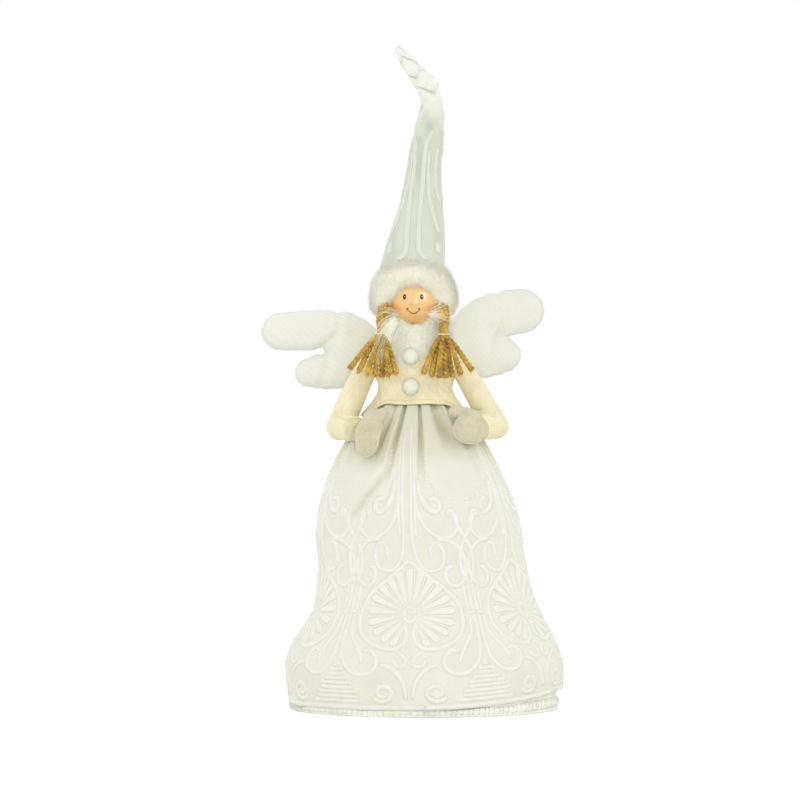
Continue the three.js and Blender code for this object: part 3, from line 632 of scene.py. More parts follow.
def mixed(tree, factor, below, above):
    """A colour socket that turns to a plain colour by a factor."""
    return add_node(tree, "ShaderNodeMixRGB", Fac=factor, Color1=below, Color2=(*above, 1)).outputs["Color"]


def tint(tree, factor, low, high, dark, light):
    """A colour between two by a factor."""
    made = add_node(tree, "ShaderNodeValToRGB", Fac=factor)
    for element, place, shade in zip(made.color_ramp.elements, (low, high), (dark, light)):
        element.position = place
        element.color = (*shade, 1)
    return made.outputs["Color"]


def shade(base, by):
    return tuple(min(1.0, channel * by) for channel in base)


def set_bump(tree, shader, height, strength, distance):
    made = add_node(tree, "ShaderNodeBump", Height=height, Strength=strength, Distance=distance * MM)
    tree.links.new(made.outputs["Normal"], shader.inputs["Normal"])


def set_colour(tree, shader, socket):
    tree.links.new(socket, shader.inputs["Base Color"])


def net_cloth(name, base, pitch, deep, pale=None):
    """Fine net over cloth. The pitch is of its threads, and deep is the painted shade in its folds.

    Pale gives the heights between which the cloth grows paler and plain, and its colour there.
    """
    material, tree, shader = new_material(name, 0.85, sheen=0.15)
    place = place_of(tree, "UV")
    threads = math_node(tree, "MAXIMUM", bands(tree, place, "X", pitch), bands(tree, place, "Y", pitch))
    cloudy = noise(tree, place_of(tree), 45.0)
    patchy = weighted(tree, cloudy, 0.7, threads, 0.3)
    ground = tint(tree, patchy, 0.3, 0.85, shade(base, 0.92), shade(base, 1.04))
    if pale:
        low, high, light = pale
        height = add_node(tree, "ShaderNodeSeparateXYZ", Vector=place_of(tree)).outputs["Z"]
        ramp = add_node(tree, "ShaderNodeMapRange", Value=height, From_Min=low * MM, From_Max=high * MM)
        up = ramp.outputs["Result"]
        ground = mixed(tree, up, ground, light)
        threads = math_node(tree, "MULTIPLY", threads, math_node(tree, "SUBTRACT", 1.0, up))
    # The fold attribute says where the deep colour is painted as shade, down in folds and creases
    fold = add_node(tree, "ShaderNodeAttribute", {"attribute_name": "fold"}).outputs["Fac"]
    set_colour(tree, shader, mixed(tree, fold, ground, deep))
    grain = noise(tree, place_of(tree), 900.0)
    raised = math_node(tree, "ADD", threads, math_node(tree, "MULTIPLY", grain, 0.6))
    set_bump(tree, shader, raised, 0.3, 0.15)
    return material


def satin_cord(name, base):
    """Satin stitch: slanting threads along a raised cord."""
    material, tree, shader = new_material(name, 0.6, sheen=0.2)
    place = place_of(tree, "UV")
    threads = bands(tree, place, "Y", 1.1)
    cloudy = noise(tree, place_of(tree), 160.0)
    set_colour(tree, shader, tint(tree, cloudy, 0.25, 0.8, shade(base, 0.95), shade(base, 1.02)))
    set_bump(tree, shader, threads, 0.4, 0.15)
    return material


def woven_cloth(name, base, pitch, roughness=0.9):
    """An open weave on the piece's own place in the frame."""
    material, tree, shader = new_material(name, roughness, sheen=0.2)
    place = place_of(tree)
    across, upright, deep = (bands(tree, place, direction, pitch, 1.6) for direction in "XZY")
    crossing = math_node(tree, "ADD", math_node(tree, "ADD", across, upright), deep)
    fluff = noise(tree, place, 700.0)
    cloudy = math_node(tree, "ADD", math_node(tree, "MULTIPLY", crossing, 0.16), noise(tree, place, 60.0))
    set_colour(tree, shader, tint(tree, cloudy, 0.45, 0.98, shade(base, 0.88), shade(base, 1.06)))
    set_bump(tree, shader, math_node(tree, "ADD", crossing, fluff), 0.4, 0.2)
    return material


def felt_cloth(name, base):
    material, tree, shader = new_material(name, 0.95, sheen=0.3)
    place = place_of(tree)
    matted = noise(tree, place, 330.0, 6.0)
    cloudy = noise(tree, place, 70.0)
    both = weighted(tree, matted, 0.5, cloudy, 0.5)
    set_colour(tree, shader, tint(tree, both, 0.35, 0.68, shade(base, 0.86), shade(base, 1.05)))
    set_bump(tree, shader, matted, 0.5, 0.5)
    return material


def pile(name, base, root_shade, roughness=0.85):
    """Fibres, darker at the root as painted shade down in the pile, and varied from one to the next."""
    material, tree, shader = new_material(name, roughness, sheen=0.2)
    along = add_node(tree, "ShaderNodeSeparateXYZ", Vector=place_of(tree, "UV")).outputs
    factor = weighted(tree, along["X"], 0.6, along["Y"], 0.6)
    set_colour(tree, shader, tint(tree, factor, 0.1, 0.95, shade(base, root_shade), shade(base, 1.03)))
    return material


def pile_ground(name, base):
    """The backing under a pile."""
    material, tree, shader = new_material(name, 1.0, sheen=0.2)
    place = place_of(tree)
    matted = noise(tree, place, 450.0, 5.0)
    set_colour(tree, shader, tint(tree, matted, 0.3, 0.7, shade(base, 0.94), base))
    set_bump(tree, shader, matted, 0.3, 0.4)
    return material


def plush_ground(name, base):
    """Knitted plush: fine slanting ribs under a short nap."""
    material, tree, shader = new_material(name, 1.0, sheen=0.2)
    place = place_of(tree)
    ribs = bands(tree, place, "DIAGONAL", 2.5, 1.4)
    matted = noise(tree, place, 500.0, 4.0)
    both = weighted(tree, ribs, 0.3, matted, 0.7)
    set_colour(tree, shader, tint(tree, both, 0.1, 0.9, shade(base, 0.96), shade(base, 1.03)))
    set_bump(tree, shader, both, 0.2, 0.3)
    return material


def yarn_finish(name, base):
    material, tree, shader = new_material(name, 0.9, sheen=0.15)
    place = place_of(tree)
    hairs = noise(tree, place, 900.0, 4.0)
    cloudy = noise(tree, place, 120.0)
    both = weighted(tree, hairs, 0.5, cloudy, 0.5)
    set_colour(tree, shader, tint(tree, both, 0.35, 0.66, shade(base, 0.45), shade(base, 1.35)))
    set_bump(tree, shader, hairs, 0.7, 0.4)
    return material


def paint(name, base, roughness):
    """Brushed paint with a slight unevenness."""
    material, tree, shader = new_material(name, roughness, gloss=PAINT_GLOSS)
    brushed = noise(tree, place_of(tree), 500.0)
    set_colour(tree, shader, tint(tree, brushed, 0.3, 0.7, shade(base, 0.9), shade(base, 1.05)))
    set_bump(tree, shader, brushed, 0.1, 0.1)
    return material


def painted_skin(name, base, blush, cheeks):
    """Paint on a ball, with a blush round each cheek."""
    material, tree, shader = new_material(name, 0.3, gloss=PAINT_GLOSS)
    place = place_of(tree)
    cloudy = noise(tree, place, 90.0)
    colour_socket = tint(tree, cloudy, 0.3, 0.7, shade(base, 0.95), shade(base, 1.03))
    for cheek, reach, strength in cheeks:
        away = add_node(tree, "ShaderNodeVectorMath", {"operation": "DISTANCE"})
        tree.links.new(place, away.inputs[0])
        away.inputs[1].default_value = tuple(cheek * MM)
        near = add_node(tree, "ShaderNodeMapRange", {"interpolation_type": "SMOOTHSTEP"},
                        Value=away.outputs["Value"], From_Min=reach * MM, From_Max=0.5 * MM, To_Max=strength)
        colour_socket = mixed(tree, near.outputs["Result"], colour_socket, blush)
    set_colour(tree, shader, colour_socket)
    set_bump(tree, shader, noise(tree, place, 260.0), 0.12, 0.2)
    return material


def grained(name, dark, light, scale, roughness):
    """Card, wood or filling seen only where the figure is taken apart."""
    material, tree, shader = new_material(name, roughness)
    place = place_of(tree)
    grain = noise(tree, place, scale, 5.0)
    set_colour(tree, shader, tint(tree, grain, 0.3, 0.7, dark, light))
    set_bump(tree, shader, grain, 0.4, 0.4)
    return material


# Skirt surface

def side_folds():
    """The folds round the sides and back, each a little different."""
    random = np.random.default_rng(7)
    angles = np.linspace(47, 308, SIDE_FOLD_COUNT) + random.uniform(-4, 4, SIDE_FOLD_COUNT)
    depths = random.uniform(3.0, 6.0, SIDE_FOLD_COUNT)
    fades = random.uniform(125, 165, SIDE_FOLD_COUNT)
    return [(a, d, f, 5.5, 0.0) for a, d, f in zip(angles, depths, fades)]


SKIRT_FOLDS = (*FRONT_FOLDS, *side_folds())


def skirt_half(z):
    return eased(SKIRT_HEIGHTS, SKIRT_HALF_WIDTHS, z), eased(SKIRT_HEIGHTS, SKIRT_HALF_DEPTHS, z)


def lean_at(z):
    return -BODY_LEAN * smoothstep(FLARE_Z, SKIRT_SHOULDER_Z, z)


def crease(degrees, z):
    """The slanting tuck below the left mitten: a puffed fold with a groove under it."""
    across, up = TUCK_MM_PER_DEGREE * (degrees - TUCK_ANGLE), z - TUCK_Z
    along, off = 0.6 * across + 0.8 * up, 0.6 * up - 0.8 * across
    tuck = TUCK_PUFF * bell(off, 4, 4) - TUCK_GROOVE * bell(off, -1, 2.2)
    return tuck * bell(along, 0, TUCK_HALF_LENGTH, 4)


def skirt_folding(angle, z):
    """How far the gathered cloth stands out of its plain oval, or sinks into it."""
    gather = smoothstep(HIP_Z, SKIRT_SHOULDER_Z, z)
    narrowing = np.minimum(1, skirt_half(z)[0] / SKIRT_HALF_WIDTHS[4])
    folding = 0.8 * gather
    for middle, depth, fade, half_width, drift in SKIRT_FOLDS:
        off = wrapped(np.degrees(angle) - (middle + drift * (z - FOLD_ANGLE_Z)))
        folding = folding - depth * smoothstep(fade, FOLD_DEEPEST_Z, z) * bell(off, 0, half_width, 3)
    loose = smoothstep(110, 175, z)
    waves = 0.7 * np.sin(5 * angle + 1.2) + 0.5 * np.sin(9 * angle + z / 33)
    waves = waves + 0.35 * np.sin(14 * angle - z / 21)
    degrees = from_front(angle)
    at_left = bell(degrees, -84, 30)
    at_right = bell(degrees, 86, 35)
    full = 2.4 * bell(z, 122, 18) * np.sin(angle) ** 2 + 2.6 * bell(z, 95, 18) * at_right
    sagging = 0.8 * bell(z, 32, 12) * at_left
    pinched = -5.0 * bell(z, 68, 15) * at_left
    return folding * narrowing + (1 - loose) * waves + full + sagging + pinched + crease(degrees, z)


def hem_at(angle):
    """The height of the hem, which is drawn up at the right."""
    return HEM_LOW + HEM_RISE * bell(from_front(angle), 88, 52)


def skirt_points(angle, z, lift=0.0):
    """Points on the skirt, lifted off its plain oval by a distance."""
    half_width, half_depth = skirt_half(z)
    out = skirt_folding(angle, z) + lift
    return oval(angle, half_width + out, half_depth + out, z, lean_at(z))


def skirt_normals(angle, z):
    small = 0.01
    around = skirt_points(angle + small, z) - skirt_points(angle - small, z)
    upward = skirt_points(angle, z + small * 50) - skirt_points(angle, z - small * 50)
    return unit(np.cross(around, upward))


def skirt_cord(points, motif, half_width, height, sides=6, thinning=0.72):
    """A cord laid on the skirt along points (across, height) of a motif, thinning towards the waist."""
    middle, step = motif
    path = smooth_path(points, CORD_SPACING)
    angle = np.radians(MOTIF_ANGLE + middle + path[:, 0] * step / 2 / MOTIF_HALF)
    z = path[:, 1] + (hem_at(angle) - HEM_LOW) * (1 - smoothstep(HEM_LOW, HIP_Z, path[:, 1]))
    out = skirt_normals(angle, z)
    line = skirt_points(angle, z)
    ends = rounding(line, half_width) * (1 - thinning * smoothstep(148, 182, z))
    return tube_rings(line + 0.1 * height * out, half_width * ends, height * ends, out, sides)


def dash(across, height, half):
    """Points of a short level stitch about a place."""
    return [(across - half, height), (across, height), (across + half, height)]


def spiral(middle, radius, turns, start):
    angles = np.linspace(start, start + turns * 2 * np.pi, 16)
    shrink = np.linspace(1, 0.25, 16)
    return [(middle[0] + radius * s * math.cos(a), middle[1] + radius * s * math.sin(a))
            for a, s in zip(angles, shrink)]


def motif_cords(motif, half_width):
    """The cords of one motif: medallion rim, stems, scrolls, beads, hem spirals and stepped triangle."""
    height = CORD_HEIGHT * half_width
    cords = []
    for side in (-1, 1):
        for share, points in (*MOTIF_CORDS, (1.3, spiral(SPIRAL_MIDDLE, SPIRAL_RADIUS, -1.5, -0.4))):
            line = [(side * across, z) for across, z in points]
            cords.append(skirt_cord(line, motif, share * half_width, height))
        for across, z in smooth_path(BEAD_CHAIN, BEAD_SPACING):
            bead = dash(side * across, z, 1.0)
            cords.append(skirt_cord(bead, motif, 0.75 * half_width, 0.38 * half_width, thinning=0.0))
    for step in range(STEP_COUNT):
        share = step / (STEP_COUNT - 1)
        width = STEP_WIDTHS[0] + (STEP_WIDTHS[1] - STEP_WIDTHS[0]) * round(share * 5) / 5
        z = STEP_LOW + (STEP_HIGH - STEP_LOW) * share
        cords.append(skirt_cord(dash(MOTIF_HALF, z, width), motif, half_width, 0.8 * height))
        for side in (-1, 1):
            block = dash(MOTIF_HALF + side * (width - 1.5), z, 2)
            cords.append(skirt_cord(block, motif, 1.1 * half_width, 1.3 * height))
    hub = [(4.0 * math.cos(a), MEDALLION_Z + 5.0 * math.sin(a)) for a in np.linspace(0, 2 * np.pi, 9)]
    cords.append(skirt_cord(hub, motif, half_width, height))
    cords.append(skirt_cord(dash(0, MEDALLION_Z, 1.0), motif, half_width, height))
    return cords


def motif_rays(motif, half_width):
    """The fan of wide rays inside the medallion."""
    rays = []
    for ray in np.radians(np.linspace(*RAY_ARC, RAY_COUNT)):
        reach = RAY_REACH[1] * (1 - 0.25 * max(0.0, -math.sin(ray)))
        stations = np.linspace(RAY_REACH[0], reach, 4)
        line = [(r * math.cos(ray), MEDALLION_Z + r * math.sin(ray)) for r in stations]
        widths = half_width * np.linspace(*RAY_WIDTHS, len(smooth_path(line, CORD_SPACING)))
        rays.append(skirt_cord(line, motif, widths, CORD_HEIGHT * half_width, 8))
    return rays


def hem_border(half_width):
    angle = np.linspace(0, 2 * np.pi, 260)
    z = hem_at(angle) + 1.8
    out = skirt_normals(angle, z)
    return tube_rings(skirt_points(angle, z), 1.2 * half_width, CORD_HEIGHT * half_width, out, 6)


class FIGURINE_OT_skirt(bpy.types.Operator):
    """Model the gathered skirt and its raised embroidery"""
    bl_idname = "figurine.skirt"
    bl_label = "Skirt"

    def execute(self, context):
        sizes, colours = context.scene.figurine_sizes, context.scene.figurine_colours
        even = full_turn(SKIRT_COLUMNS)
        angle = even - 0.45 * np.sin(even)
        share = np.linspace(0, 1, SKIRT_ROWS)[:, None]
        z = hem_at(angle) + (WAIST_Z - 1 - hem_at(angle)) * share
        angle = angle + 0 * z
        tulle = net_cloth("embroidered tulle ground", colours.tulle[:], 1.5, colours.fold[:])
        skirt = ring_piece("skirt_cloth", skirt_points(angle, z), tulle)
        # Painted shade: the fold colour is laid in the deep folds near the waist, in the groove of the tuck,
        # and faintly over the whole top of the skirt
        sunk = np.clip(-skirt_folding(angle, z) / 6, 0, 1) * smoothstep(140, 180, z)
        tucked = np.clip(-crease(from_front(angle), z) / 5, 0, 1)
        set_fold_shade(skirt, np.maximum(np.maximum(sunk, tucked), 0.42 * smoothstep(166, 186, z)))
        apply_modifier(skirt, "SOLIDIFY", "Cloth", thickness=sizes.cloth, offset=-1)
        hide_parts("skirt")
        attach(skirt, "figure")
        half_width = sizes.cord / MM
        cords, rays = [hem_border(half_width)], []
        for motif in MOTIFS:
            cords += motif_cords(motif, half_width)
            rays += motif_rays(motif, half_width)
        satin = satin_cord("satin stitch", colours.cord[:])
        embroidery = cords_piece("skirt_embroidery", cords, satin)
        fans = cords_piece("skirt_embroidery_fans", rays, satin, tile=0.7)
        for piece in (embroidery, fans):
            piece.visible_shadow = False
            piece.visible_diffuse = False
            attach(piece, "figure")
        return {"FINISHED"}


# Base and body

SACK_COLUMNS = 120
ROLL_POINTS = 400
EDGE_STITCHES = 150
COVER_INSET = 1.8
# Heights of the base cover from its underside up, with the share of its full size there
COVER_ROWS = ((0.0, 0.985), (0.0, 1.0), (1.0, 1.004), (2.0, 1.0), (2.1, 0.985))


class FIGURINE_OT_base(bpy.types.Operator):
    """Model the sack with its stitched lower edge, and the cover under it"""
    bl_idname = "figurine.base"
    bl_label = "Sack and base"

    def execute(self, context):
        colours = context.scene.figurine_colours
        cotton = woven_cloth("sack cotton", colours.cotton[:], 0.9)
        random = np.random.default_rng(11)
        angle = full_turn(SACK_COLUMNS)
        z = np.concatenate([[2.4, 3.0], np.linspace(6, WAIST_Z - 2, 40)])[:, None]
        half_width, half_depth = skirt_half(np.maximum(z, HEM_Z))
        inset = 2.6 + 5.6 * smoothstep(34, 54, z) + 7.6 * smoothstep(HIP_Z, SKIRT_SHOULDER_Z, z)
        rings = oval(angle, half_width - inset, half_depth - inset, z, lean_at(z))
        sack = ring_piece("body_sack_cloth", rings, cotton, close=True)
        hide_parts("body_sack")
        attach(sack, "figure")

        around = np.linspace(0, 2 * np.pi, ROLL_POINTS)
        bulge = bell(np.degrees(around), 72, 28)
        wobble = 0.5 * np.sin(7 * around + 1) + 0.35 * np.sin(17 * around)
        radius = 3.2 + 2.3 * bulge + 0.25 * wobble
        reach = 0.9 + radius - 0.5 * wobble
        roll = oval(around, SKIRT_HALF_WIDTHS[0] - reach, SKIRT_HALF_DEPTHS[0] - reach, radius + 0.2)
        roll[-1], radius[-1] = roll[0], radius[0]
        edge = cords_piece("sack_edge_roll", [tube_rings(roll, radius, radius, UP, 14)], cotton)
        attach(edge, "figure")
        stitches = []
        for turn in np.linspace(0, 2 * np.pi, EDGE_STITCHES, endpoint=False):
            index = int(turn / (2 * np.pi) * (ROLL_POINTS - 1))
            tilt = np.radians(np.linspace(-35, 95, 7))
            out = np.array((math.sin(turn), -math.cos(turn), 0))
            slant = np.array((math.cos(turn), math.sin(turn), 0)) * np.linspace(-0.8, 0.8, 7)[:, None]
            lie = radius[index] + 0.1
            path = roll[index] + slant + lie * (np.cos(tilt)[:, None] * out + np.sin(tilt)[:, None] * UP)
            stitches.append(tube_rings(path, 0.35 + 0.1 * random.random(), 0.3, out + 0.5 * UP, 5))
        seam = cords_piece("sack_edge_stitches", stitches, satin_cord("whip stitch", colours.cord[:]))
        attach(seam, "figure")

        half_width, half_depth = SKIRT_HALF_WIDTHS[0] - COVER_INSET, SKIRT_HALF_DEPTHS[0] - COVER_INSET
        cover_rings = np.stack([oval(angle, half_width * scale, half_depth * scale, height)
                                for height, scale in COVER_ROWS])
        cover = ring_piece("base_cover_cloth", cover_rings, cotton, close=True)
        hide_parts("base_cover")
        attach(cover, "figure")
        return {"FINISHED"}


# Bodice

BODICE_COLUMNS = 200
BODICE_ROWS = 64
BODICE_THICKNESS = 1.0
HEM_STITCHES = 64
SINKING_STEP = 0.4


def bodice_half(z):
    skirt_width, skirt_depth = skirt_half(np.minimum(z, WAIST_Z))
    over = z < BODICE_HEIGHTS[0]
    return (np.where(over, skirt_width + 2.2, eased(BODICE_HEIGHTS, BODICE_HALF_WIDTHS, z)),
            np.where(over, skirt_depth + 2.2, eased(BODICE_HEIGHTS, BODICE_HALF_DEPTHS, z)))


def bodice_hem(angle):
    degrees = np.abs(from_front(angle))
    side = np.where(degrees > 90, smoothstep(38, 82, 180 - degrees), smoothstep(38, 82, degrees))
    return BODICE_HEM_FRONT + (BODICE_HEM_SIDE - BODICE_HEM_FRONT) * side + 0.3 * np.sin(6 * angle)


def bodice_points(angle, share):
    """Points on the bodice, at a share of the way from its hem to the neck."""
    hem = bodice_hem(angle)
    z = hem + (BODICE_HEIGHTS[-1] - hem) * share
    half_width, half_depth = bodice_half(z)
    pucker = bell(z, 221, 6)
    flute = bell(share, 0, 0.12)
    out = 0.45 * pucker * np.sin(17 * angle + 0.8 * z) + 0.5 * flute * np.sin(11 * angle)
    out = out + 0.35 * np.sin(4 * angle + 0.25 * z)
    return oval(angle, half_width + out, half_depth + out, z, -BODY_LEAN)


def sunk_for_sleeves(points):
    """Points of the bodice drawn in where the shoulder of a sleeve fills it."""
    middle = np.array((-BODY_LEAN, 0, 0))
    for side in SIDES:
        shoulder, elbow, _, _ = arm_line(side)
        axis = unit(elbow - shoulder)
        for _ in range(40):
            along = np.clip((points - shoulder) @ axis, 0, None)
            gap = np.linalg.norm(points - shoulder - along[:, None] * axis, axis=1)
            inside = gap < SLEEVES[side][2] + SINKING_STEP
            inward = (middle - points) * np.array((1, 1, 0))
            points = np.where(inside[:, None], points + SINKING_STEP * unit(inward), points)
    return points


class FIGURINE_OT_bodice(bpy.types.Operator):
    """Model the jersey bodice with its stitched hem"""
    bl_idname = "figurine.bodice"
    bl_label = "Bodice"

    def execute(self, context):
        sizes, colours = context.scene.figurine_sizes, context.scene.figurine_colours
        angle = full_turn(BODICE_COLUMNS)[None]
        share = np.linspace(0, 1, BODICE_ROWS)[:, None]
        rings = bodice_points(angle + 0 * share, share + 0 * angle)
        rings = sunk_for_sleeves(rings.reshape(-1, 3)).reshape(rings.shape)
        jersey = woven_cloth("bodice jersey", colours.jersey[:], 1.5)
        bodice = ring_piece("bodice_jersey", rings, jersey)
        apply_modifier(bodice, "SOLIDIFY", "Cloth", thickness=BODICE_THICKNESS * MM, offset=-1)
        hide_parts("bodice")
        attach(bodice, "figure")
        stitches = []
        length = sizes.stitch / MM
        for middle in np.linspace(0, 2 * np.pi, HEM_STITCHES, endpoint=False):
            reach = 0.5 * length / 34
            turn = np.linspace(middle - reach, middle + reach, 5)
            path = bodice_points(turn, np.full(5, 0.055))
            path += np.array((0, 0, 0.25)) * np.sin(middle * 9)
            out = oval(turn, 1, 1, 0)
            arch = np.sin(np.linspace(0, np.pi, 5))[:, None]
            stitches.append(tube_rings(path + out * 0.35 * arch, 0.32, 0.25, out, 6))
        seam = cords_piece("bodice_hem_stitches", stitches, satin_cord("hem thread", colours.thread[:]))
        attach(seam, "figure")
        return {"FINISHED"}


# Arms

# How each arm shows from the front: shoulder and elbow (x, z), half widths of upper arm, elbow and wrist
SLEEVES = {
    "left": ((-40.5, 238.0), (-59.0, 197.0), 8.0, 9.4, 8.8),
    "right": ((26.5, 238.0), (49.8, 197.5), 7.6, 9.2, 8.6),
}
# How each mitten shows from the front: palm and thumb as (x, z, half width)
MITTENS = {
    "left": (((-36.6, 200.5, 9.0), (-38.6, 194.0, 11.2), (-39.1, 186.3, 9.4)),
             ((-35.5, 200.0, 5.2), (-32.0, 203.5, 4.8), (-28.9, 206.2, 4.3))),
    "right": (((36.8, 196.2, 9.6), (33.0, 195.6, 10.9), (30.0, 195.0, 9.8)),
              ((35.5, 204.0, 4.8), (28.0, 206.5, 4.6), (20.8, 207.4, 4.2))),
}
MITTEN_HALF_THICKNESS = 6.6
THUMB_HALF_THICKNESS = 4.2
# How far the bend of a sleeve reaches from the elbow either way
ELBOW_REACH = 9.0
# The tuck at each elbow as it shows from the front, from (x, z) to (x, z)
ELBOW_CREASES = {"left": ((-63.0, 206.6), (-47.0, 200.2)), "right": ((35.0, 207.6), (56.0, 211.4))}


def lobe_end(station, ahead, turns):
    """Stations (x, z, half width) that close a lobe roundly past its last one."""
    half = station[2]
    return [(*(station[:2] + ahead * half * math.sin(a)), half * math.cos(a)) for a in turns]


def lobe_rings(points, thickness, place, hint, sides=36):
    """Rings of a stuffed lobe with round ends, through points (x, z, half width) seen from the front."""
    points = smooth_path(points, 1.2)
    first, last = unit(points[0, :2] - points[2, :2]), unit(points[-1, :2] - points[-3, :2])
    turns = np.radians((88, 76, 62, 48, 34, 20, 8))
    stations = np.concatenate([lobe_end(points[0], first, turns), points,
                               lobe_end(points[-1], last, turns[::-1])])
    path = np.array([place(x, z) for x, z, _ in stations])
    widest = stations[:, 2].max()
    thin = np.array([thickness * min(1.0, half / widest) ** 0.6 for half in stations[:, 2]])
    return tube_rings(path, stations[:, 2], thin, hint, sides)


def before_skirt(x, z, off):
    """The point in front of the skirt at a distance off its plain oval."""
    half_width, half_depth = skirt_half(z)
    angle = math.asin(np.clip((x - lean_at(z)) / half_width, -0.95, 0.95))
    steep = max(0.55, math.cos(angle) * 0.85)
    return np.array((x, -half_depth * math.cos(angle) - off / steep, z))


def palm_place(x, z):
    return before_skirt(x, z, MITTEN_HALF_THICKNESS + 0.5)


def thumb_place(x, z):
    return before_skirt(x, z, MITTEN_HALF_THICKNESS + 3.0)


def arm_line(side):
    """Shoulder, elbow and wrist of an arm, and the way that its forearm points."""
    (shoulder_x, shoulder_z), (elbow_x, elbow_z) = SLEEVES[side][:2]
    shoulder = np.array((shoulder_x, joint_places[f"shoulder_{side}"][1], shoulder_z))
    elbow = np.array((elbow_x, joint_places[f"elbow_{side}"][1], elbow_z))
    low, high = (np.array(corner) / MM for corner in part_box(f"mitten_{side}"))
    ahead = unit((low + high) / 2 - elbow)
    return shoulder, elbow, elbow + ahead * FOREARM_LENGTH, ahead


def sleeve_creases(side, points, normals, shoulder, elbow, wrist):
    """Creases across the sleeve, closest at the inside of the elbow, and a slack surface."""
    x, y, z = points.T
    gap = np.linalg.norm(points - elbow, axis=1)
    along = (points - shoulder) @ unit(elbow - shoulder)
    inner = np.clip((points - elbow) @ unit((shoulder + wrist) / 2 - elbow) / ELBOW_REACH, 0, 1)
    sharp = 1 - np.abs(np.sin(0.42 * along + 0.16 * x + 0.6))
    wrinkled = -0.9 * bell(gap, ELBOW_REACH, ELBOW_REACH) * (0.25 + 0.75 * inner) * sharp**3
    slack = 0.22 * np.sin(0.33 * along + 0.2 * z) + 0.15 * np.sin(0.31 * x - 0.37 * y)
    (start_x, start_z), (end_x, end_z) = ELBOW_CREASES[side]
    across = (x - start_x) / (end_x - start_x)
    off = z - (start_z + (end_z - start_z) * across)
    within = smoothstep(-0.15, 0.2, across) * (1 - smoothstep(0.8, 1.15, across)) * (normals[:, 1] < 0.2)
    tucked = within * (0.9 * bell(off, -2.6, 1.8) - 1.4 * bell(off, 0, 1.4))
    return points + normals * (wrinkled + slack + tucked)[:, None]


class FIGURINE_OT_arms(bpy.types.Operator):
    """Model the stuffed sleeves and felt mittens"""
    bl_idname = "figurine.arms"
    bl_label = "Sleeves and mittens"

    def execute(self, context):
        colours = context.scene.figurine_colours
        # The sleeves take a slightly darker copy of the bodice jersey, painted shade
        jersey = woven_cloth("sleeve jersey", shade(colours.jersey[:], 0.97), 1.5)
        felt = felt_cloth("mitten felt", colours.felt[:])
        piping = satin_cord("mitten seam", shade(colours.felt[:], 1.15))
        for side in SIDES:
            shoulder, elbow, wrist, ahead = arm_line(side)
            upper_half, elbow_half, wrist_half = SLEEVES[side][2:]
            upper_rings = capsule(shoulder, elbow, upper_half, elbow_half + 0.3, BACKWARD)
            fore_rings = capsule(elbow, wrist + ahead * 0.6, elbow_half, wrist_half, UP, round_end=False)
            upper = ring_piece("upper", upper_rings, jersey, close=True)
            fore = ring_piece("fore", fore_rings, jersey, close=True)
            sleeve = fuse(f"sleeve_{side}", [upper, fore], 0.8, 3)
            points, normals = points_of(sleeve), normals_of(sleeve)
            set_points(sleeve, sleeve_creases(side, points, normals, shoulder, elbow, wrist))
            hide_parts(f"upper_arm_{side}", f"forearm_{side}")
            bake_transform(sleeve)

            palm_points, thumb_points = MITTENS[side]
            x, z, _ = palm_points[1]
            out = unit(palm_place(x, z) - np.array((-BODY_LEAN, 0, z - 15)))
            palm = lobe_rings(palm_points, MITTEN_HALF_THICKNESS, palm_place, out)
            thumb = lobe_rings(thumb_points, THUMB_HALF_THICKNESS, thumb_place, out)
            mitten = fuse(f"mitten_{side}_felt", [ring_piece("palm", palm, felt, close=True),
                                                  ring_piece("thumb", thumb, felt, close=True)], 0.7, 5)
            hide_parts(f"mitten_{side}")
            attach(mitten, f"forearm_{side}")
            quarter = palm.shape[1] // 4
            edge = np.concatenate([palm[4:, quarter], palm[:3:-1, 3 * quarter]])
            seam = cords_piece(f"mitten_{side}_seam", [tube_rings(edge, 0.4, 0.4, out, 7)], piping)
            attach(seam, f"forearm_{side}")
        return {"FINISHED"}


# Wings

# Lobes of each wing as they show from the front: (x, z, half width) from the seam out
WING_LOBES = {
    "left": (
        ((-20.0, 249.5, 10.5), (-34.0, 252.5, 12.0), (-52.0, 252.5, 17.0)),
        ((-36.0, 258.0, 8.0), (-52.0, 265.0, 11.8), (-68.8, 265.6, 13.4), (-85.9, 265.0, 13.8),
         (-101.2, 264.4, 13.2)),
        ((-38.0, 246.5, 11.5), (-55.0, 239.0, 13.8), (-70.0, 236.6, 12.7), (-80.8, 235.2, 10.0)),
    ),
    "right": (
        ((7.0, 249.5, 10.5), (22.0, 254.5, 12.0), (36.0, 258.0, 16.0)),
        ((22.0, 263.5, 7.5), (38.0, 273.6, 12.8), (54.0, 277.0, 15.6), (69.4, 279.4, 15.9)),
        ((24.0, 251.5, 11.5), (41.0, 246.2, 14.2), (56.2, 247.8, 12.2)),
    ),
}
WING_SWEEP = {"left": 8.0, "right": 28.0}
WING_HALF_THICKNESS = 8.5
NAP_FIBRES = 18000
NAP_HALF_WIDTH = 0.11
WING_CREASES = {
    "left": (((-61.3, 279.0), (-59.9, 270.5), (-62.0, 262.2), (-67.6, 256.6), (-73.9, 250.9)),
             ((-73.9, 250.9), (-70.0, 247.0), (-68.3, 242.0), (-69.7, 236.0), (-72.0, 228.0))),
    "right": (((52.6, 292.0), (54.7, 276.0), (55.4, 266.3), (52.5, 260.8)),
              ((52.5, 260.8), (51.1, 252.3), (50.4, 244.0), (48.0, 236.0))),
}


def crease_gap(points, creases):
    """How far each point is from the nearest crease, seen from the front."""
    gaps = [np.linalg.norm(points[:, None, [0, 2]] - smooth_path(crease, 1.0)[None], axis=2).min(axis=1)
            for crease in creases]
    return np.min(gaps, axis=0)


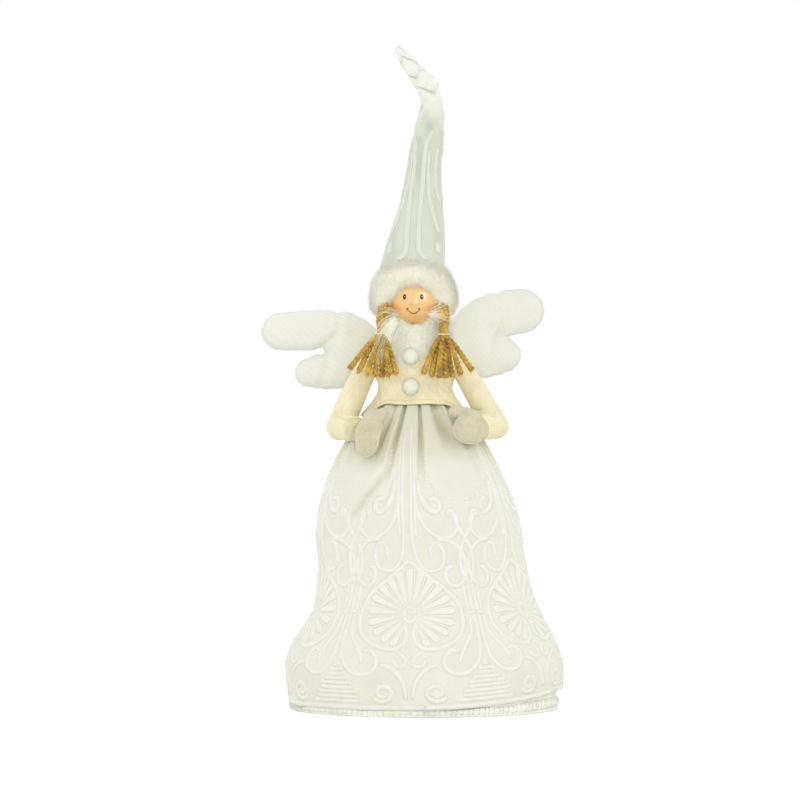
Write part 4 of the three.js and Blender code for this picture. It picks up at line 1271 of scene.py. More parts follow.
class FIGURINE_OT_wings(bpy.types.Operator):
    """Model the stuffed plush wings with their sewn creases and nap"""
    bl_idname = "figurine.wings"
    bl_label = "Wings"

    def execute(self, context):
        sizes, colours = context.scene.figurine_sizes, context.scene.figurine_colours
        ground = plush_ground("plush ground", colours.plush[:])
        nap = pile("plush nap", colours.plush[:], 0.95)
        for seed, (side, sign) in enumerate(SIDES.items()):
            seam = joint_places[f"wing_{side}_fold"]
            slope = math.tan(math.radians(WING_SWEEP[side]))

            def place(x, z):
                return np.array((x, seam[1] + 2 + slope * abs(x - seam[0]), z))
            forms = [lobe_rings(points, WING_HALF_THICKNESS, place, BACKWARD) for points in WING_LOBES[side]]
            lobes = [ring_piece("lobe", rings, ground, close=True) for rings in forms]
            wing = fuse(f"wing_{side}_plush", lobes, 1.5, 4)
            gap = crease_gap(points_of(wing), WING_CREASES[side])
            stuff(wing, 2.0, 0.8, np.flatnonzero(gap < 1.5))
            apply_modifier(wing, "SUBSURF", "Fine", levels=1, render_levels=1)
            points, normals = points_of(wing), normals_of(wing)
            gap = crease_gap(points, WING_CREASES[side])
            depth = 1.2 * bell(gap, 0, 2.4) - 0.4 * bell(gap, 6, 3)
            set_points(wing, points - normals * depth[:, None])
            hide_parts(f"wing_{side}")
            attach(wing, f"wing_{side}")

            random = np.random.default_rng(20 + seed)
            roots, out = scatter(wing, NAP_FIBRES, 30 + seed)
            lie = np.array((sign * 0.7, 0.0, -0.7))
            heads = unit(0.9 * out + lie + random.normal(0, 0.22, roots.shape))
            heads = unit(heads + np.clip(0.35 - (heads * out).sum(axis=1, keepdims=True), 0, None) * out)
            lengths = sizes.plush_pile / MM * random.uniform(0.6, 1.2, len(roots))
            plush = fibres(f"wing_{side}_nap", roots - 0.2 * out, heads, lengths, 0 * heads, NAP_HALF_WIDTH,
                           2, nap, out)
            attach(plush, f"wing_{side}")
        return {"FINISHED"}


# Head

CHIN_LENGTH = 1.16
EYE_ACROSS = 6.0
EYE_HEIGHT = -1.0
EYE_HALF = (1.2, 1.72)
HIGHLIGHT_HALF = (0.3, 0.34)
NOSE_HEIGHT = -4.6
MOUTH_HALF = 3.7
MOUTH_HEIGHT = -8.8
MOUTH_SAG = 2.2
DIMPLE_RADIUS = 0.9
CHEEK_ACROSS = 11.0
CHEEK_HEIGHT = -7.8
CHIN_PLACE = (0.8, -14.2)
# Rings of a domed spot of paint from its edge in, as (share of its size, share of its rise)
SPOT_RINGS = ((1.0, -0.25), (1.0, 0.0), (0.85, 0.6), (0.5, 0.92), (0.12, 1.0))
HIGHLIGHT_WHITE = (0.9, 0.9, 0.88)


def on_face(across, height, lift):
    """A point on the front of the head, by its place as seen from the front, and the way out there."""
    turn = math.radians(FACE_TURN)
    flat = np.array((across, -math.sqrt(max(0.0, HEAD_RADIUS**2 - across**2 - height**2)), height))
    out = flat / HEAD_RADIUS
    turned = np.array((math.cos(turn) * out[0] + math.sin(turn) * -out[1],
                       math.cos(turn) * out[1] + math.sin(turn) * out[0], out[2]))
    return HEAD + chin_drawn(turned * (HEAD_RADIUS + lift)), turned


def chin_drawn(offsets):
    """Offsets from the middle of the head, with its lower half drawn down and the left cheek full."""
    full = 0.15 * smoothstep(2, 12, -offsets[..., :1]) * smoothstep(0, 7, -offsets[..., 2:])
    wide = np.concatenate([1 + full, np.ones_like(full), np.ones_like(full)], axis=-1)
    return offsets * wide * np.where(offsets[..., 2:] < 0, (1, 1, CHIN_LENGTH), 1)


def face_spot(name, across, height, half_across, half_height, lift, material):
    """A small domed oval of paint."""
    rings = []
    for share, rise in SPOT_RINGS:
        wide, tall = half_across * share, half_height * share
        rings.append([on_face(across + wide * math.cos(t), height + tall * math.sin(t), lift * rise)[0]
                      for t in full_turn(28)])
    return ring_piece(name, np.array(rings), material, close=True)


class FIGURINE_OT_head(bpy.types.Operator):
    """Model the painted head and its face"""
    bl_idname = "figurine.head"
    bl_label = "Head"

    def execute(self, context):
        colours = context.scene.figurine_colours
        bpy.ops.object.select_all(action="DESELECT")
        bpy.ops.mesh.primitive_uv_sphere_add(
            segments=96, ring_count=64, radius=HEAD_RADIUS * MM, location=HEAD * MM)
        head = context.object
        head.name = head.data.name = "head_painted"
        bpy.ops.object.transform_apply(location=True, rotation=False, scale=False)
        points = HEAD + chin_drawn(points_of(head) - HEAD)
        nose = on_face(0, NOSE_HEIGHT, 0)[0]
        cheeks = [on_face(across, CHEEK_HEIGHT, 0)[0] for across in (-CHEEK_ACROSS, CHEEK_ACROSS)]
        chin = on_face(*CHIN_PLACE, 0)[0]
        swellings = ((nose, 1.5, 2.0), *((cheek, 0.5, 4.5) for cheek in cheeks), (chin, -0.35, 1.2))
        rise = sum(height * bell(np.linalg.norm(points - middle, axis=1), 0, reach)
                   for middle, height, reach in swellings)
        set_points(head, points + unit(points - HEAD) * rise[:, None])
        head.data.shade_smooth()
        blushes = ((cheeks[0], 7.0, 0.8), (cheeks[1], 6.0, 0.4), (nose, 2.8, 0.15))
        head.data.materials.append(painted_skin("painted skin", colours.skin[:], colours.blush[:], blushes))
        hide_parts("head")
        black = paint("eye paint", colours.paint[:], 0.3)
        white = paint("highlight paint", HIGHLIGHT_WHITE, 0.35)
        brown = paint("mouth paint", colours.mouth[:], 0.5)
        pieces = [head]
        for side, sign in SIDES.items():
            eye = sign * EYE_ACROSS
            pieces.append(face_spot(f"eye_{side}", eye, EYE_HEIGHT, *EYE_HALF, 0.3, black))
            pieces.append(face_spot(
                f"eye_{side}_highlight", eye + 0.25, EYE_HEIGHT + 0.1, *HIGHLIGHT_HALF, 0.5, white))
        swing = np.linspace(-1, 1, 25)
        curves = [[(MOUTH_HALF * s, MOUTH_HEIGHT - MOUTH_SAG * (1 - s * s)) for s in swing]]
        for sign in (-1, 1):
            curves.append([(sign * (MOUTH_HALF + DIMPLE_RADIUS * math.cos(t) - 0.3),
                            MOUTH_HEIGHT + DIMPLE_RADIUS * math.sin(t) + 0.1)
                           for t in np.linspace(-0.5, 1.9, 7)])
        cords = []
        for curve in curves:
            stations = [on_face(a, h, 0.0) for a, h in curve]
            path, outs = (np.array(part) for part in zip(*stations))
            thin = 0.5 * np.sqrt(np.maximum(0.15, 1 - np.linspace(-1, 1, len(path)) ** 2))
            cords.append(tube_rings(path, thin, 0.22, outs, 8))
        pieces.append(cords_piece("mouth", cords, brown))
        for piece in pieces:
            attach(piece, "figure")
        return {"FINISHED"}


# Fur collar and pom-poms

COLLAR_MIDDLE_Z = 265.5
COLLAR_FIBRES = 11500
COLLAR_HALF_WIDTH = 0.11
# Loose wisps as (place from the collar's middle, direction, bend, number of fibres, shortest fibre)
COLLAR_WISPS = (
    ((10.8, -17.5, 9.5), (0.95, -0.3, 0.1), (0.05, 0.05, -0.15), 44, 9.0),
    ((-14.0, -20.5, 5.0), (-0.5, -0.6, -0.55), (-0.05, 0.3, -0.6), 95, 19.0),
)
WISP_HALF_WIDTH = 0.13
WISP_SPREAD = (1.8, 0.8, 2.4)
POM_OFFSET = (-3.4, -0.6, 0.0)
POM_FIBRES = 3600
POM_HALF_WIDTH = 0.08


def fur_ring(name, middle, section, material, columns=72, sides=28):
    """The backing of a fur ring.

    Its section gives, at an angle, the mid radius, half thickness, mid height, half height and how
    far the lower edge stands out.
    """
    turn = full_turn(columns)
    around = np.arange(sides + 1) * 2 * np.pi / sides
    mid_radius, half_thickness, mid_height, half_height, slant = section(turn)
    radius = mid_radius + half_thickness * np.cos(around)[:, None] - slant * np.sin(around)[:, None]
    rings = oval(turn, radius, radius, mid_height + half_height * np.sin(around)[:, None]) + middle
    base = ring_piece(name, rings, material)
    weld(base)
    return base


def collar_section(turn):
    front = smoothstep(-0.2, 1, np.cos(turn))
    top = 272.8 - 4.8 * bell(from_front(turn), 0, 42, 4)
    bottom = 258.5 - 12.0 * front
    middle = (top + bottom) / 2 - COLLAR_MIDDLE_Z
    return 13.8 + 2.2 * front, 4.4 - 0.9 * front, middle, (top - bottom) / 2, 3.6 * front


class FIGURINE_OT_collar(bpy.types.Operator):
    """Model the long fur collar and the pom-pom buttons"""
    bl_idname = "figurine.collar"
    bl_label = "Collar and pom-poms"

    def execute(self, context):
        sizes, colours = context.scene.figurine_sizes, context.scene.figurine_colours
        ground = pile_ground("collar ground", colours.collar[:])
        long_pile = pile("collar fur", colours.collar[:], 0.7)
        middle = np.array((HEAD[0], HEAD[1], COLLAR_MIDDLE_Z))
        base = fur_ring("fur_collar_base", middle, collar_section, ground)
        base.visible_shadow = False
        base.visible_diffuse = False
        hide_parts("fur_collar")
        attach(base, "figure")
        random = np.random.default_rng(41)
        roots, out = scatter(base, COLLAR_FIBRES, 42)
        outward = unit((roots - middle) * np.array((1, 1, 0)))
        seen = (out * outward).sum(axis=1) > -0.3
        roots, out, outward = roots[seen], out[seen], outward[seen]
        count = len(roots)
        front = np.clip(-outward[:, 1:2], 0, 1)
        high = np.clip((roots[:, 2:] - middle[2]) / 7, -1, 1)
        lift = -0.75 + 1.15 * np.clip(high, 0, 1) * (1 - 0.5 * front)
        rim = smoothstep(0.1, 0.7, out[:, 2:]) * front
        heads = unit(0.6 * outward + 0.2 * out + (lift + rim) * UP + random.normal(0, 0.2, (count, 3)))
        heads, tuft = tufted(roots, heads, 16, 0.6, 43)
        lengths = sizes.collar_pile / MM * random.uniform(0.55, 1.05, count) * (0.8 + 0.2 * high[:, 0])
        centred = bell(roots[:, 0], HEAD[0], 6) * front[:, 0] * np.clip(-high[:, 0], 0, 1)
        lengths = lengths * (1 - 0.5 * centred) * (1 - 0.68 * rim[:, 0])
        fall = -0.45 + 0.3 * np.clip(high, 0, 1) * (1 - front)
        bends = -0.25 * outward * (0.85 + 0.3 * random.random((count, 1))) + fall * UP
        bends = bends + random.normal(0, 0.16, (count, 3))[tuft] + random.normal(0, 0.07, (count, 3))
        shown = unit(outward + 0.3 * UP)
        fur = fibres("fur_collar_pile", roots, heads, lengths, bends, COLLAR_HALF_WIDTH, 4, long_pile, shown)
        white_pile = pile("collar wisps", shade(colours.collar[:], 1.06), 0.95)
        strays = []
        for number, (place, ahead, bend, count, shortest) in enumerate(COLLAR_WISPS, start=1):
            spread = random.normal(0, 1.0, (count, 3)) * np.array(WISP_SPREAD)
            fan = spread[:, 2:] * np.array((0, 0, 0.2))
            wisp_heads = unit(np.array(ahead) + fan + random.normal(0, 0.07, (count, 3)))
            wisp_bends = np.array(bend) + random.normal(0, 0.05, (count, 3))
            shown_wisps = np.tile(unit(np.array((0.2, -0.8, 0.5))), (count, 1))
            wisp_lengths = random.uniform(shortest, shortest + 7, count)
            strays.append(fibres(f"fur_collar_wisps_{number}", middle + np.array(place) + spread, wisp_heads,
                                 wisp_lengths, wisp_bends, WISP_HALF_WIDTH, 5, white_pile, shown_wisps))
        for piece in (fur, *strays):
            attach(piece, "figure")

        pom_ground = pile_ground("pom-pom ground", colours.pom[:])
        pom_pile = pile("pom-pom fibres", colours.pom[:], 0.93)
        for number, place in enumerate(("upper", "lower")):
            low, high = (np.array(corner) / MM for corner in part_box(f"pom_pom_{place}"))
            middle, radius = (low + high) / 2 + np.array(POM_OFFSET), (high - low).max() / 2
            bpy.ops.object.select_all(action="DESELECT")
            bpy.ops.mesh.primitive_ico_sphere_add(
                subdivisions=4, radius=(radius - 0.5) * MM, location=middle * MM)
            core = context.object
            core.name = core.data.name = f"pom_pom_{place}_core"
            bpy.ops.object.transform_apply(location=True, rotation=False, scale=False)
            core.data.shade_smooth()
            core.data.materials.append(pom_ground)
            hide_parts(f"pom_pom_{place}")
            random = np.random.default_rng(50 + number)
            roots, out = scatter(core, POM_FIBRES, 52 + number)
            heads = unit(out + random.normal(0, 0.35, roots.shape))
            lengths = sizes.pom_pile / MM * random.uniform(0.7, 1.1, len(roots))
            fluff = fibres(f"pom_pom_{place}_fluff", roots - 0.2 * out, heads, lengths,
                           0.2 * random.normal(0, 1, roots.shape), POM_HALF_WIDTH, 2, pom_pile, out)
            for piece in (core, fluff):
                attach(piece, "figure")
        return {"FINISHED"}


# Pigtails

# How each pigtail shows from the front: root and tie (x, z), and where its seven strands end in x
PIGTAILS = {
    "left": ((-22.8, 294.0), (-30.4, 261.5), (-51.5, -45.5, -39.5, -34.2, -29.2, -24.6, -19.5)),
    "right": ((9.8, 294.0), (13.4, 261.0), (-0.5, 5.2, 10.2, 14.8, 19.4, 25.2, 33.0)),
}
BUNDLE_PITCH = 2.5
BUNDLE_TWIST = 150.0
YARN_PITCH = 7.0
FRAYED_FIBRES = 60
SIDE_FIBRES = 260
FUZZ_HALF_WIDTH = 0.09
TIE_WRAPS = 2


def strand_lines(side):
    """The middle lines of a pigtail's strands: turning round each other to the tie, then fanned out."""
    (root_x, root_z), (tie_x, tie_z), ends = PIGTAILS[side]
    root = np.array((root_x, joint_places[f"pigtail_{side}_swing"][1] + 12.0, root_z))
    tie = np.array((tie_x, TIE_Y, tie_z))
    turns = np.radians([0, 15, 75, 135, 195, 255, 315])
    reach = np.array([0, 1, 1, 1, 1, 1, 1]) * BUNDLE_PITCH
    places = np.stack([reach * np.cos(turns), reach * np.sin(turns), 0 * turns], axis=1)
    places = places[np.argsort(places[:, 0])]
    lines = []
    for place, end_x in zip(places, ends):
        points = []
        for share in (0.0, 0.35, 0.7, 1.0):
            turn = math.radians(BUNDLE_TWIST) * (share - 1)
            wide = 0.8 + 0.5 * math.sin(math.pi * share) - 0.2 * share
            turned = np.array((place[0] * math.cos(turn) - place[1] * math.sin(turn),
                               place[0] * math.sin(turn) + place[1] * math.cos(turn), 0)) * wide
            bow = np.array((1.8 * SIDES[side], 3.0, 0)) * math.sin(math.pi * share)
            points.append(root + (tie - root) * share + turned + bow)
        fan = math.atan2(end_x - tie_x, TAIL_LENGTH)
        drop = TAIL_LENGTH * (0.1 + math.cos(fan))
        points.append(tie + 0.95 * place + np.array(((end_x - tie_x) * 0.22, -0.6, -6.0)))
        points.append(np.array((end_x, tie[1] + 2.2 * place[1] / BUNDLE_PITCH + 1.5, tie_z - drop)))
        lines.append(smooth_path(points, 0.8))
    return tie, lines


def twisted(path, plies, radius, pitch, phase):
    """The plies of a twisted yarn, opening out a little at its cut end."""
    lengths = lengths_along(path)
    _, across, out = path_frames(path, BACKWARD)
    opening = 1 + 0.35 * smoothstep(lengths[-1] - 5, lengths[-1], lengths)
    radius = radius * (0.86 + 0.26 * smoothstep(lengths[-1] * 0.5, lengths[-1], lengths))
    cords = []
    for ply in range(plies):
        turn = phase + 2 * np.pi * (lengths / pitch + ply / plies)
        offset = (np.cos(turn)[:, None] * across + np.sin(turn)[:, None] * out) * radius[:, None] * 0.46
        half = radius * 0.66 * (1 - 0.25 * smoothstep(lengths[-1] - 1.5, lengths[-1], lengths))
        cords.append(tube_rings(path + offset * opening[:, None], half, half, np.array((0.3, 0.9, 0.2)), 8))
    return cords


class FIGURINE_OT_pigtails(bpy.types.Operator):
    """Model the yarn pigtails, their frayed ends and the threads that tie them"""
    bl_idname = "figurine.pigtails"
    bl_label = "Pigtails"

    def execute(self, context):
        sizes, colours = context.scene.figurine_sizes, context.scene.figurine_colours
        wool = yarn_finish("twisted yarn", colours.yarn[:])
        fuzz = pile("yarn fuzz", shade(colours.yarn[:], 1.1), 0.85)
        thread = satin_cord("tie thread", colours.thread[:])
        radius = sizes.yarn / MM / 2
        for side, sign in SIDES.items():
            body = f"pigtail_{side}"
            random = np.random.default_rng(60 + sign)
            tie, lines = strand_lines(side)
            for number, path in enumerate(lines, start=1):
                cords = twisted(path, sizes.yarn_plies, radius, YARN_PITCH, random.uniform(0, 6))
                strand = cords_piece(f"yarn_{side}_{number}_twisted", cords, wool)
                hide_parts(f"yarn_{side}_{number}")
                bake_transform(strand)
                end, ahead = path[-1], unit(path[-1] - path[-4])
                back = random.uniform(0.3, 3, (FRAYED_FIBRES, 1))
                roots = end - ahead * back + random.normal(0, radius * 0.45, (FRAYED_FIBRES, 3))
                heads = unit(ahead + random.normal(0, 0.25, (FRAYED_FIBRES, 3)))
                along = path[random.integers(0, len(path), SIDE_FIBRES)]
                side_heads = unit(random.normal(0, 1, (SIDE_FIBRES, 3)) + 0.8 * ahead)
                roots = np.concatenate([roots, along + side_heads * radius * 0.8])
                heads = np.concatenate([heads, side_heads])
                lengths = np.concatenate([random.uniform(1.5, 3.4, FRAYED_FIBRES),
                                          random.uniform(0.5, 1.3, SIDE_FIBRES)])
                bends = random.normal(0, 0.25, heads.shape)
                frayed = fibres(f"yarn_{side}_{number}_fuzz", roots, heads, lengths, bends, FUZZ_HALF_WIDTH,
                                3, fuzz)
                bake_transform(frayed)
            turn = np.linspace(0, 2 * np.pi * TIE_WRAPS, 90)
            rise = np.linspace(-0.4, 0.4, len(turn))
            reach = 0.6 * BUNDLE_PITCH + radius + 0.4
            wraps = tie + np.stack([reach * np.cos(turn), reach * np.sin(turn), rise], axis=1)
            knot = cords_piece(f"pigtail_tie_{side}_wraps", [tube_rings(wraps, 0.32, 0.32, UP, 7)], thread)
            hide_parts(f"pigtail_tie_{side}")
            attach(knot, body)
        return {"FINISHED"}


# Hat

CONE_SHARES = (-0.14, 0.0, 0.08, 0.25, 0.425, 0.63, 0.77, 0.88, 1.0)
CONE_HALF_WIDTHS = (24.0, 22.7, 21.8, 18.6, 14.3, 11.7, 11.4, 9.7, 7.9)
CONE_START_X = -7.4
CONE_START_Y = 0.66
CONE_START_Z = 307.2
CONE_SIDE_LEAN = 13.0
# Middle of the soft tip from the bend to its end, as (x, z, half width)
TIP_POINTS = ((5.4, 423.2, 7.9), (4.6, 431.0, 7.7), (0.6, 439.5, 7.2), (-6.0, 446.5, 6.2),
              (-13.0, 456.0, 4.5), (-18.4, 463.2, 2.9))
# Cords of one hat motif as (width share, points), each point (degrees from its middle, share of the
# cone's height)
HAT_CORDS = (
    (1.25, ((30.0, 0.056), (19.0, 0.075), (13.5, 0.10), (12.0, 0.20), (13.7, 0.35), (17.3, 0.51),
            (19.4, 0.67), (27.0, 0.78), (47.0, 0.85))),
    (1.15, ((64.0, 0.217), (52.0, 0.30), (42.0, 0.40), (38.0, 0.51), (35.0, 0.65), (38.0, 0.72))),
    (1.1, ((84.0, 0.40), (66.0, 0.47), (61.0, 0.55), (60.0, 0.65), (66.0, 0.74))),
    (1.9, ((54.0, 0.09), (56.0, 0.13), (55.0, 0.165))),
)
HAT_BEADS = ((30.0, 0.85), (42.0, 0.82), (64.0, 0.767), (85.0, 0.745))
HAT_MOTIFS = 2
HAT_MOTIF_ANGLE = -3.0
HAT_TWIST = 31.0
# Size on the cone of one degree and of the whole height, for spacing a cord's points
HAT_CORD_SCALE = (0.25, 110.0)
# Rings that close the tip, as (share of its last ring, rise past it)
TIP_CAP = ((0.8, 0.8), (0.35, 1.4))
# Heights between which the cloth of the hat turns paler and plain
PALE_HEIGHTS = (400.0, 430.0)
HAT_COLUMNS = 96
CONE_ROWS = 125
BRIM_HALF_THICKNESS = 7.5
BRIM_FIBRES = 28000
BRIM_HALF_WIDTH = 0.09
BRIM_MIDDLE_X = -7.4
BRIM_MIDDLE_Z = 293.0


def brim_section(turn):
    away = np.abs(from_front(turn))
    bottom = 298.2 - 20.7 * smoothstep(6, 98, away)
    top = 309.0 + 2.6 * bell(away, 0, 38) - 6.6 * smoothstep(45, 130, away)
    middle = (top + bottom) / 2 - BRIM_MIDDLE_Z
    return 20.5 + 0 * turn, BRIM_HALF_THICKNESS + 0 * turn, middle, (top - bottom) / 2, 2.5 + 0 * turn


def cone_line(share):
    """The middle of the cone at shares of its height."""
    back = CONE_BACK_LEAN * np.sin(np.clip(share, 0, 1) * np.pi / 2)
    return np.stack([CONE_START_X + CONE_SIDE_LEAN * share, CONE_START_Y + back,
                     CONE_START_Z + CONE_HEIGHT * share], axis=-1)


def hat_axis(share):
    """The middle of the front motif in degrees, which turns to the left up the cone."""
    return HAT_MOTIF_ANGLE - HAT_TWIST * share


def cone_slack(angle, share):
    """How far the cloth of the cone stands out, or sinks into its slack folds."""
    slack = 0.5 * np.sin(3 * angle + 9 * share) + 0.35 * np.sin(7 * angle - 4 * share)
    upper = smoothstep(0.7, 1.0, share)
    crumple = upper * (0.7 * np.sin(2 * angle + 26 * share) + 0.5 * np.sin(5 * angle - 40 * share))
    degrees = from_front(angle)
    valley = -2.2 * bell(degrees, -6, 16) * bell(share, 0.87, 0.05)
    flutes = 0.5 + 0.5 * np.cos(np.radians(degrees - hat_axis(share)) * 9)
    pleats = -1.1 * bell(share, 0.62, 0.16) * flutes**2
    return slack * (1 - 0.5 * share) + crumple + valley + pleats


def cone_points(angle, share):
    """Points on the cone."""
    radius = eased(CONE_SHARES, CONE_HALF_WIDTHS, share) + cone_slack(angle, share)
    return cone_line(share) + oval(angle, radius, radius, 0)


def cone_normals(angle, share):
    small = 0.004
    around = cone_points(angle + small, share) - cone_points(angle - small, share)
    upward = cone_points(angle, share + small) - cone_points(angle, share - small)
    return unit(np.cross(around, upward))


def tip_rings(columns):
    """Rings of the tip, creased across and flatter to its end, and how deep each point lies in a crease."""
    line = smooth_path(TIP_POINTS, 0.55)
    path = np.stack([line[:, 0], np.full(len(line), CONE_START_Y + CONE_BACK_LEAN), line[:, 1]], axis=1)
    share = np.linspace(0, 1, len(path))[:, None]
    along, _, _ = path_frames(path, BACKWARD)
    along[:10] = unit(along[:10] * np.linspace(0, 1, 10)[:, None] + UP * np.linspace(1, 0, 10)[:, None])
    across = unit(np.cross(BACKWARD, along))
    back = np.cross(along, across)
    angle = full_turn(columns)
    slanted = 11.5 * share + 0.9 * np.sin(angle) + 0.6 * np.sin(3 * angle + 6 * share)
    folds = (1 - np.abs(np.sin(slanted + 0.35))) ** 3 * (0.6 + 0.4 * np.sin(3 * angle + 8 * share))
    waves = 0.07 * np.sin(2 * angle + 14 * share) + 0.07 * np.sin(5 * angle - 20 * share)
    eased_in = smoothstep(0, 0.1, share)
    swell = line[:, 2:] * (1 + (waves - 0.2 * folds) * eased_in)
    flat = 1 - 0.2 * smoothstep(0.2, 1, share)
    rings = (path[:, None] + swell[..., None] * np.sin(angle)[:, None] * across[:, None]
             - (swell * flat)[..., None] * np.cos(angle)[:, None] * back[:, None])
    cap = [path[-1] + (rings[-1] - path[-1]) * scale + along[-1] * rise for scale, rise in TIP_CAP]
    creases = np.concatenate([folds * eased_in, np.zeros((len(TIP_CAP), columns))])
    return np.concatenate([rings, cap]), creases


def hat_cord(points, middle, half_width, height):
    """A cord laid on the cone along points (degrees from the middle, share of the height)."""
    scale = np.array(HAT_CORD_SCALE)
    path = smooth_path(np.asarray(points, float) * scale, 1.5) / scale
    angle, share = np.radians(middle + hat_axis(path[:, 1]) + path[:, 0]), path[:, 1]
    out = cone_normals(angle, share)
    narrow = half_width * (1 - 0.25 * share)
    line = cone_points(angle, share)
    ends = rounding(line, half_width)
    return tube_rings(line, narrow * ends, height * ends, out, 8)


class FIGURINE_OT_hat(bpy.types.Operator):
    """Model the fur brim, the embroidered cone and its soft bent tip"""
    bl_idname = "figurine.hat"
    bl_label = "Hat"

    def execute(self, context):
        sizes, colours = context.scene.figurine_sizes, context.scene.figurine_colours
        angle = full_turn(HAT_COLUMNS)[None]
        share = np.linspace(-0.05, 0.99, CONE_ROWS)[:, None]
        angle, share = angle + 0 * share, share + 0 * angle
        tip, creases = tip_rings(HAT_COLUMNS)
        rings = np.concatenate([cone_points(angle, share), tip[1:]])
        pale = (*PALE_HEIGHTS, colours.hat_tip[:])
        ground = net_cloth("embroidered hat ground", colours.hat[:], 1.4, colours.hat_fold_shade[:], pale)
        hat = ring_piece("hat_cloth", rings, ground)
        # Painted shade: the hat fold colour is laid in the slack folds of the cone and in the creases of the
        # tip
        set_fold_shade(hat, np.concatenate([np.clip(-cone_slack(angle, share) / 2.4, 0, 1), creases[1:]]))
        apply_modifier(hat, "SOLIDIFY", "Cloth", thickness=sizes.cloth, offset=-1)
        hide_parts("hat_cone", "hat_tip")
        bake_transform(hat)

        half_width = sizes.cord / MM
        cords = []
        for middle in np.arange(HAT_MOTIFS) * 360 / HAT_MOTIFS:
            for sign in (-1, 1):
                for width_share, points in HAT_CORDS:
                    line = [(sign * a, s) for a, s in points]
                    cords.append(hat_cord(line, middle, width_share * half_width, 0.36 * half_width))
                for a, s in smooth_path(HAT_BEADS, 11.0):
                    bead = dash(sign * a, s, 4.0)
                    cords.append(hat_cord(bead, middle, 0.85 * half_width, 0.35 * half_width))
        stitched = satin_cord("hat satin stitch", shade(colours.hat[:], 1.09))
        embroidery = cords_piece("hat_embroidery", cords, stitched)
        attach(embroidery, "figure")

        ground = pile_ground("brim ground", colours.brim[:])
        fur = pile("brim fur", colours.brim[:], 0.86)
        middle = np.array((BRIM_MIDDLE_X, CONE_START_Y, BRIM_MIDDLE_Z))
        base = fur_ring("hat_brim_base", middle, brim_section, ground, 96, 36)
        base.visible_shadow = False
        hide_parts("hat_brim")
        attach(base, "figure")
        roots, out = scatter(base, BRIM_FIBRES, 71)
        outward = unit((roots - middle) * np.array((1, 1, 0)))
        outside = (out * outward).sum(axis=1) > -0.55
        roots, out = roots[outside], out[outside]
        random = np.random.default_rng(72)
        droop = -0.6 * UP * (1 - smoothstep(0.1, 0.8, out[:, 2:]))
        heads = unit(0.9 * out + droop + random.normal(0, 0.3, roots.shape))
        heads, tuft = tufted(roots, heads, 24, 0.5, 73)
        lengths = sizes.brim_pile / MM * random.uniform(0.55, 1.15, len(roots))
        bends = 0.4 * droop + random.normal(0, 0.1, roots.shape)[tuft] + random.normal(0, 0.08, roots.shape)
        half = roots[:, 1] < middle[1]
        for name, part in (("hat_brim_fur_front", half), ("hat_brim_fur_back", ~half)):
            pelt = fibres(name, roots[part], heads[part], lengths[part], bends[part], BRIM_HALF_WIDTH, 3, fur,
                          unit(out[part] + 0.8 * UP))
            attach(pelt, "figure")
        return {"FINISHED"}


# Pieces inside

class FIGURINE_OT_inside(bpy.types.Operator):
    """Finish the filling, weight, board and dowel inside"""
    bl_idname = "figurine.inside"
    bl_label = "Pieces inside"

    def execute(self, context):
        wadding = grained("wadding", linear(225, 224, 216), linear(248, 247, 242), 240.0, 1.0)
        pouch = grained("sand pouch", linear(196, 188, 166), linear(224, 217, 198), 500.0, 0.95)
        for node, material, slot, fill, inset in (("torso_filling", wadding, "stuffing", 0.7, 0.0),
                                                  ("hat_filling", wadding, "stuffing", 0.6, 3.2),
                                                  ("weight_bag", pouch, "sand_pouch", 0.5, 0.0)):
            soft = fuse(f"{node}_soft", [copy_of(node, node, material)], 1.6, 3)
            set_points(soft, points_of(soft) - inset * normals_of(soft))
            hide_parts(node)
            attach(soft, "figure")
        card = grained("card", linear(168, 142, 102), linear(196, 172, 130), 300.0, 0.95)
        wood = grained("bare wood", linear(184, 142, 88), linear(214, 176, 120), 150.0, 0.8)
        for node, material in (("base_board", card), ("neck_dowel", wood)):
            piece = frame["nodes"][node]
            piece.data.materials.clear()
            piece.data.materials.append(material)
        return {"FINISHED"}


# Stage

CAMERA_PLACE = (-0.0168, -2.5, 0.2156)
SENSOR_WIDTH = 36.0
VIEW_WIDTH = 0.56
FLOOR_SIZE = 8.0
FLOOR_GLOW = 1.06
FLOOR_GLOW_SHARE = 0.82
WORLD_LIGHT = 0.95
# Lamps as (name, place, target, width, power). The gloss lamp shows only as a highlight on paint
LAMPS = (
    ("key", (0.9, -1.5, 1.3), (0, 0, 0.22), 1.0, 2.4),
    ("fill", (-1.1, -1.3, 0.8), (0, 0, 0.2), 1.2, 1.6),
    ("front", (0.1, -2.3, 0.22), (0, 0, 0.25), 0.4, 5.2),
    ("left edge", (-1.3, 0.7, 0.8), (0, 0, 0.2), 1.0, 2.8),
    ("right edge", (1.3, 0.7, 0.8), (0, 0, 0.2), 1.0, 2.2),
    ("gloss", (0.7, -0.95, 0.3), (0, 0, 0.288), 0.35, 12.0),
)


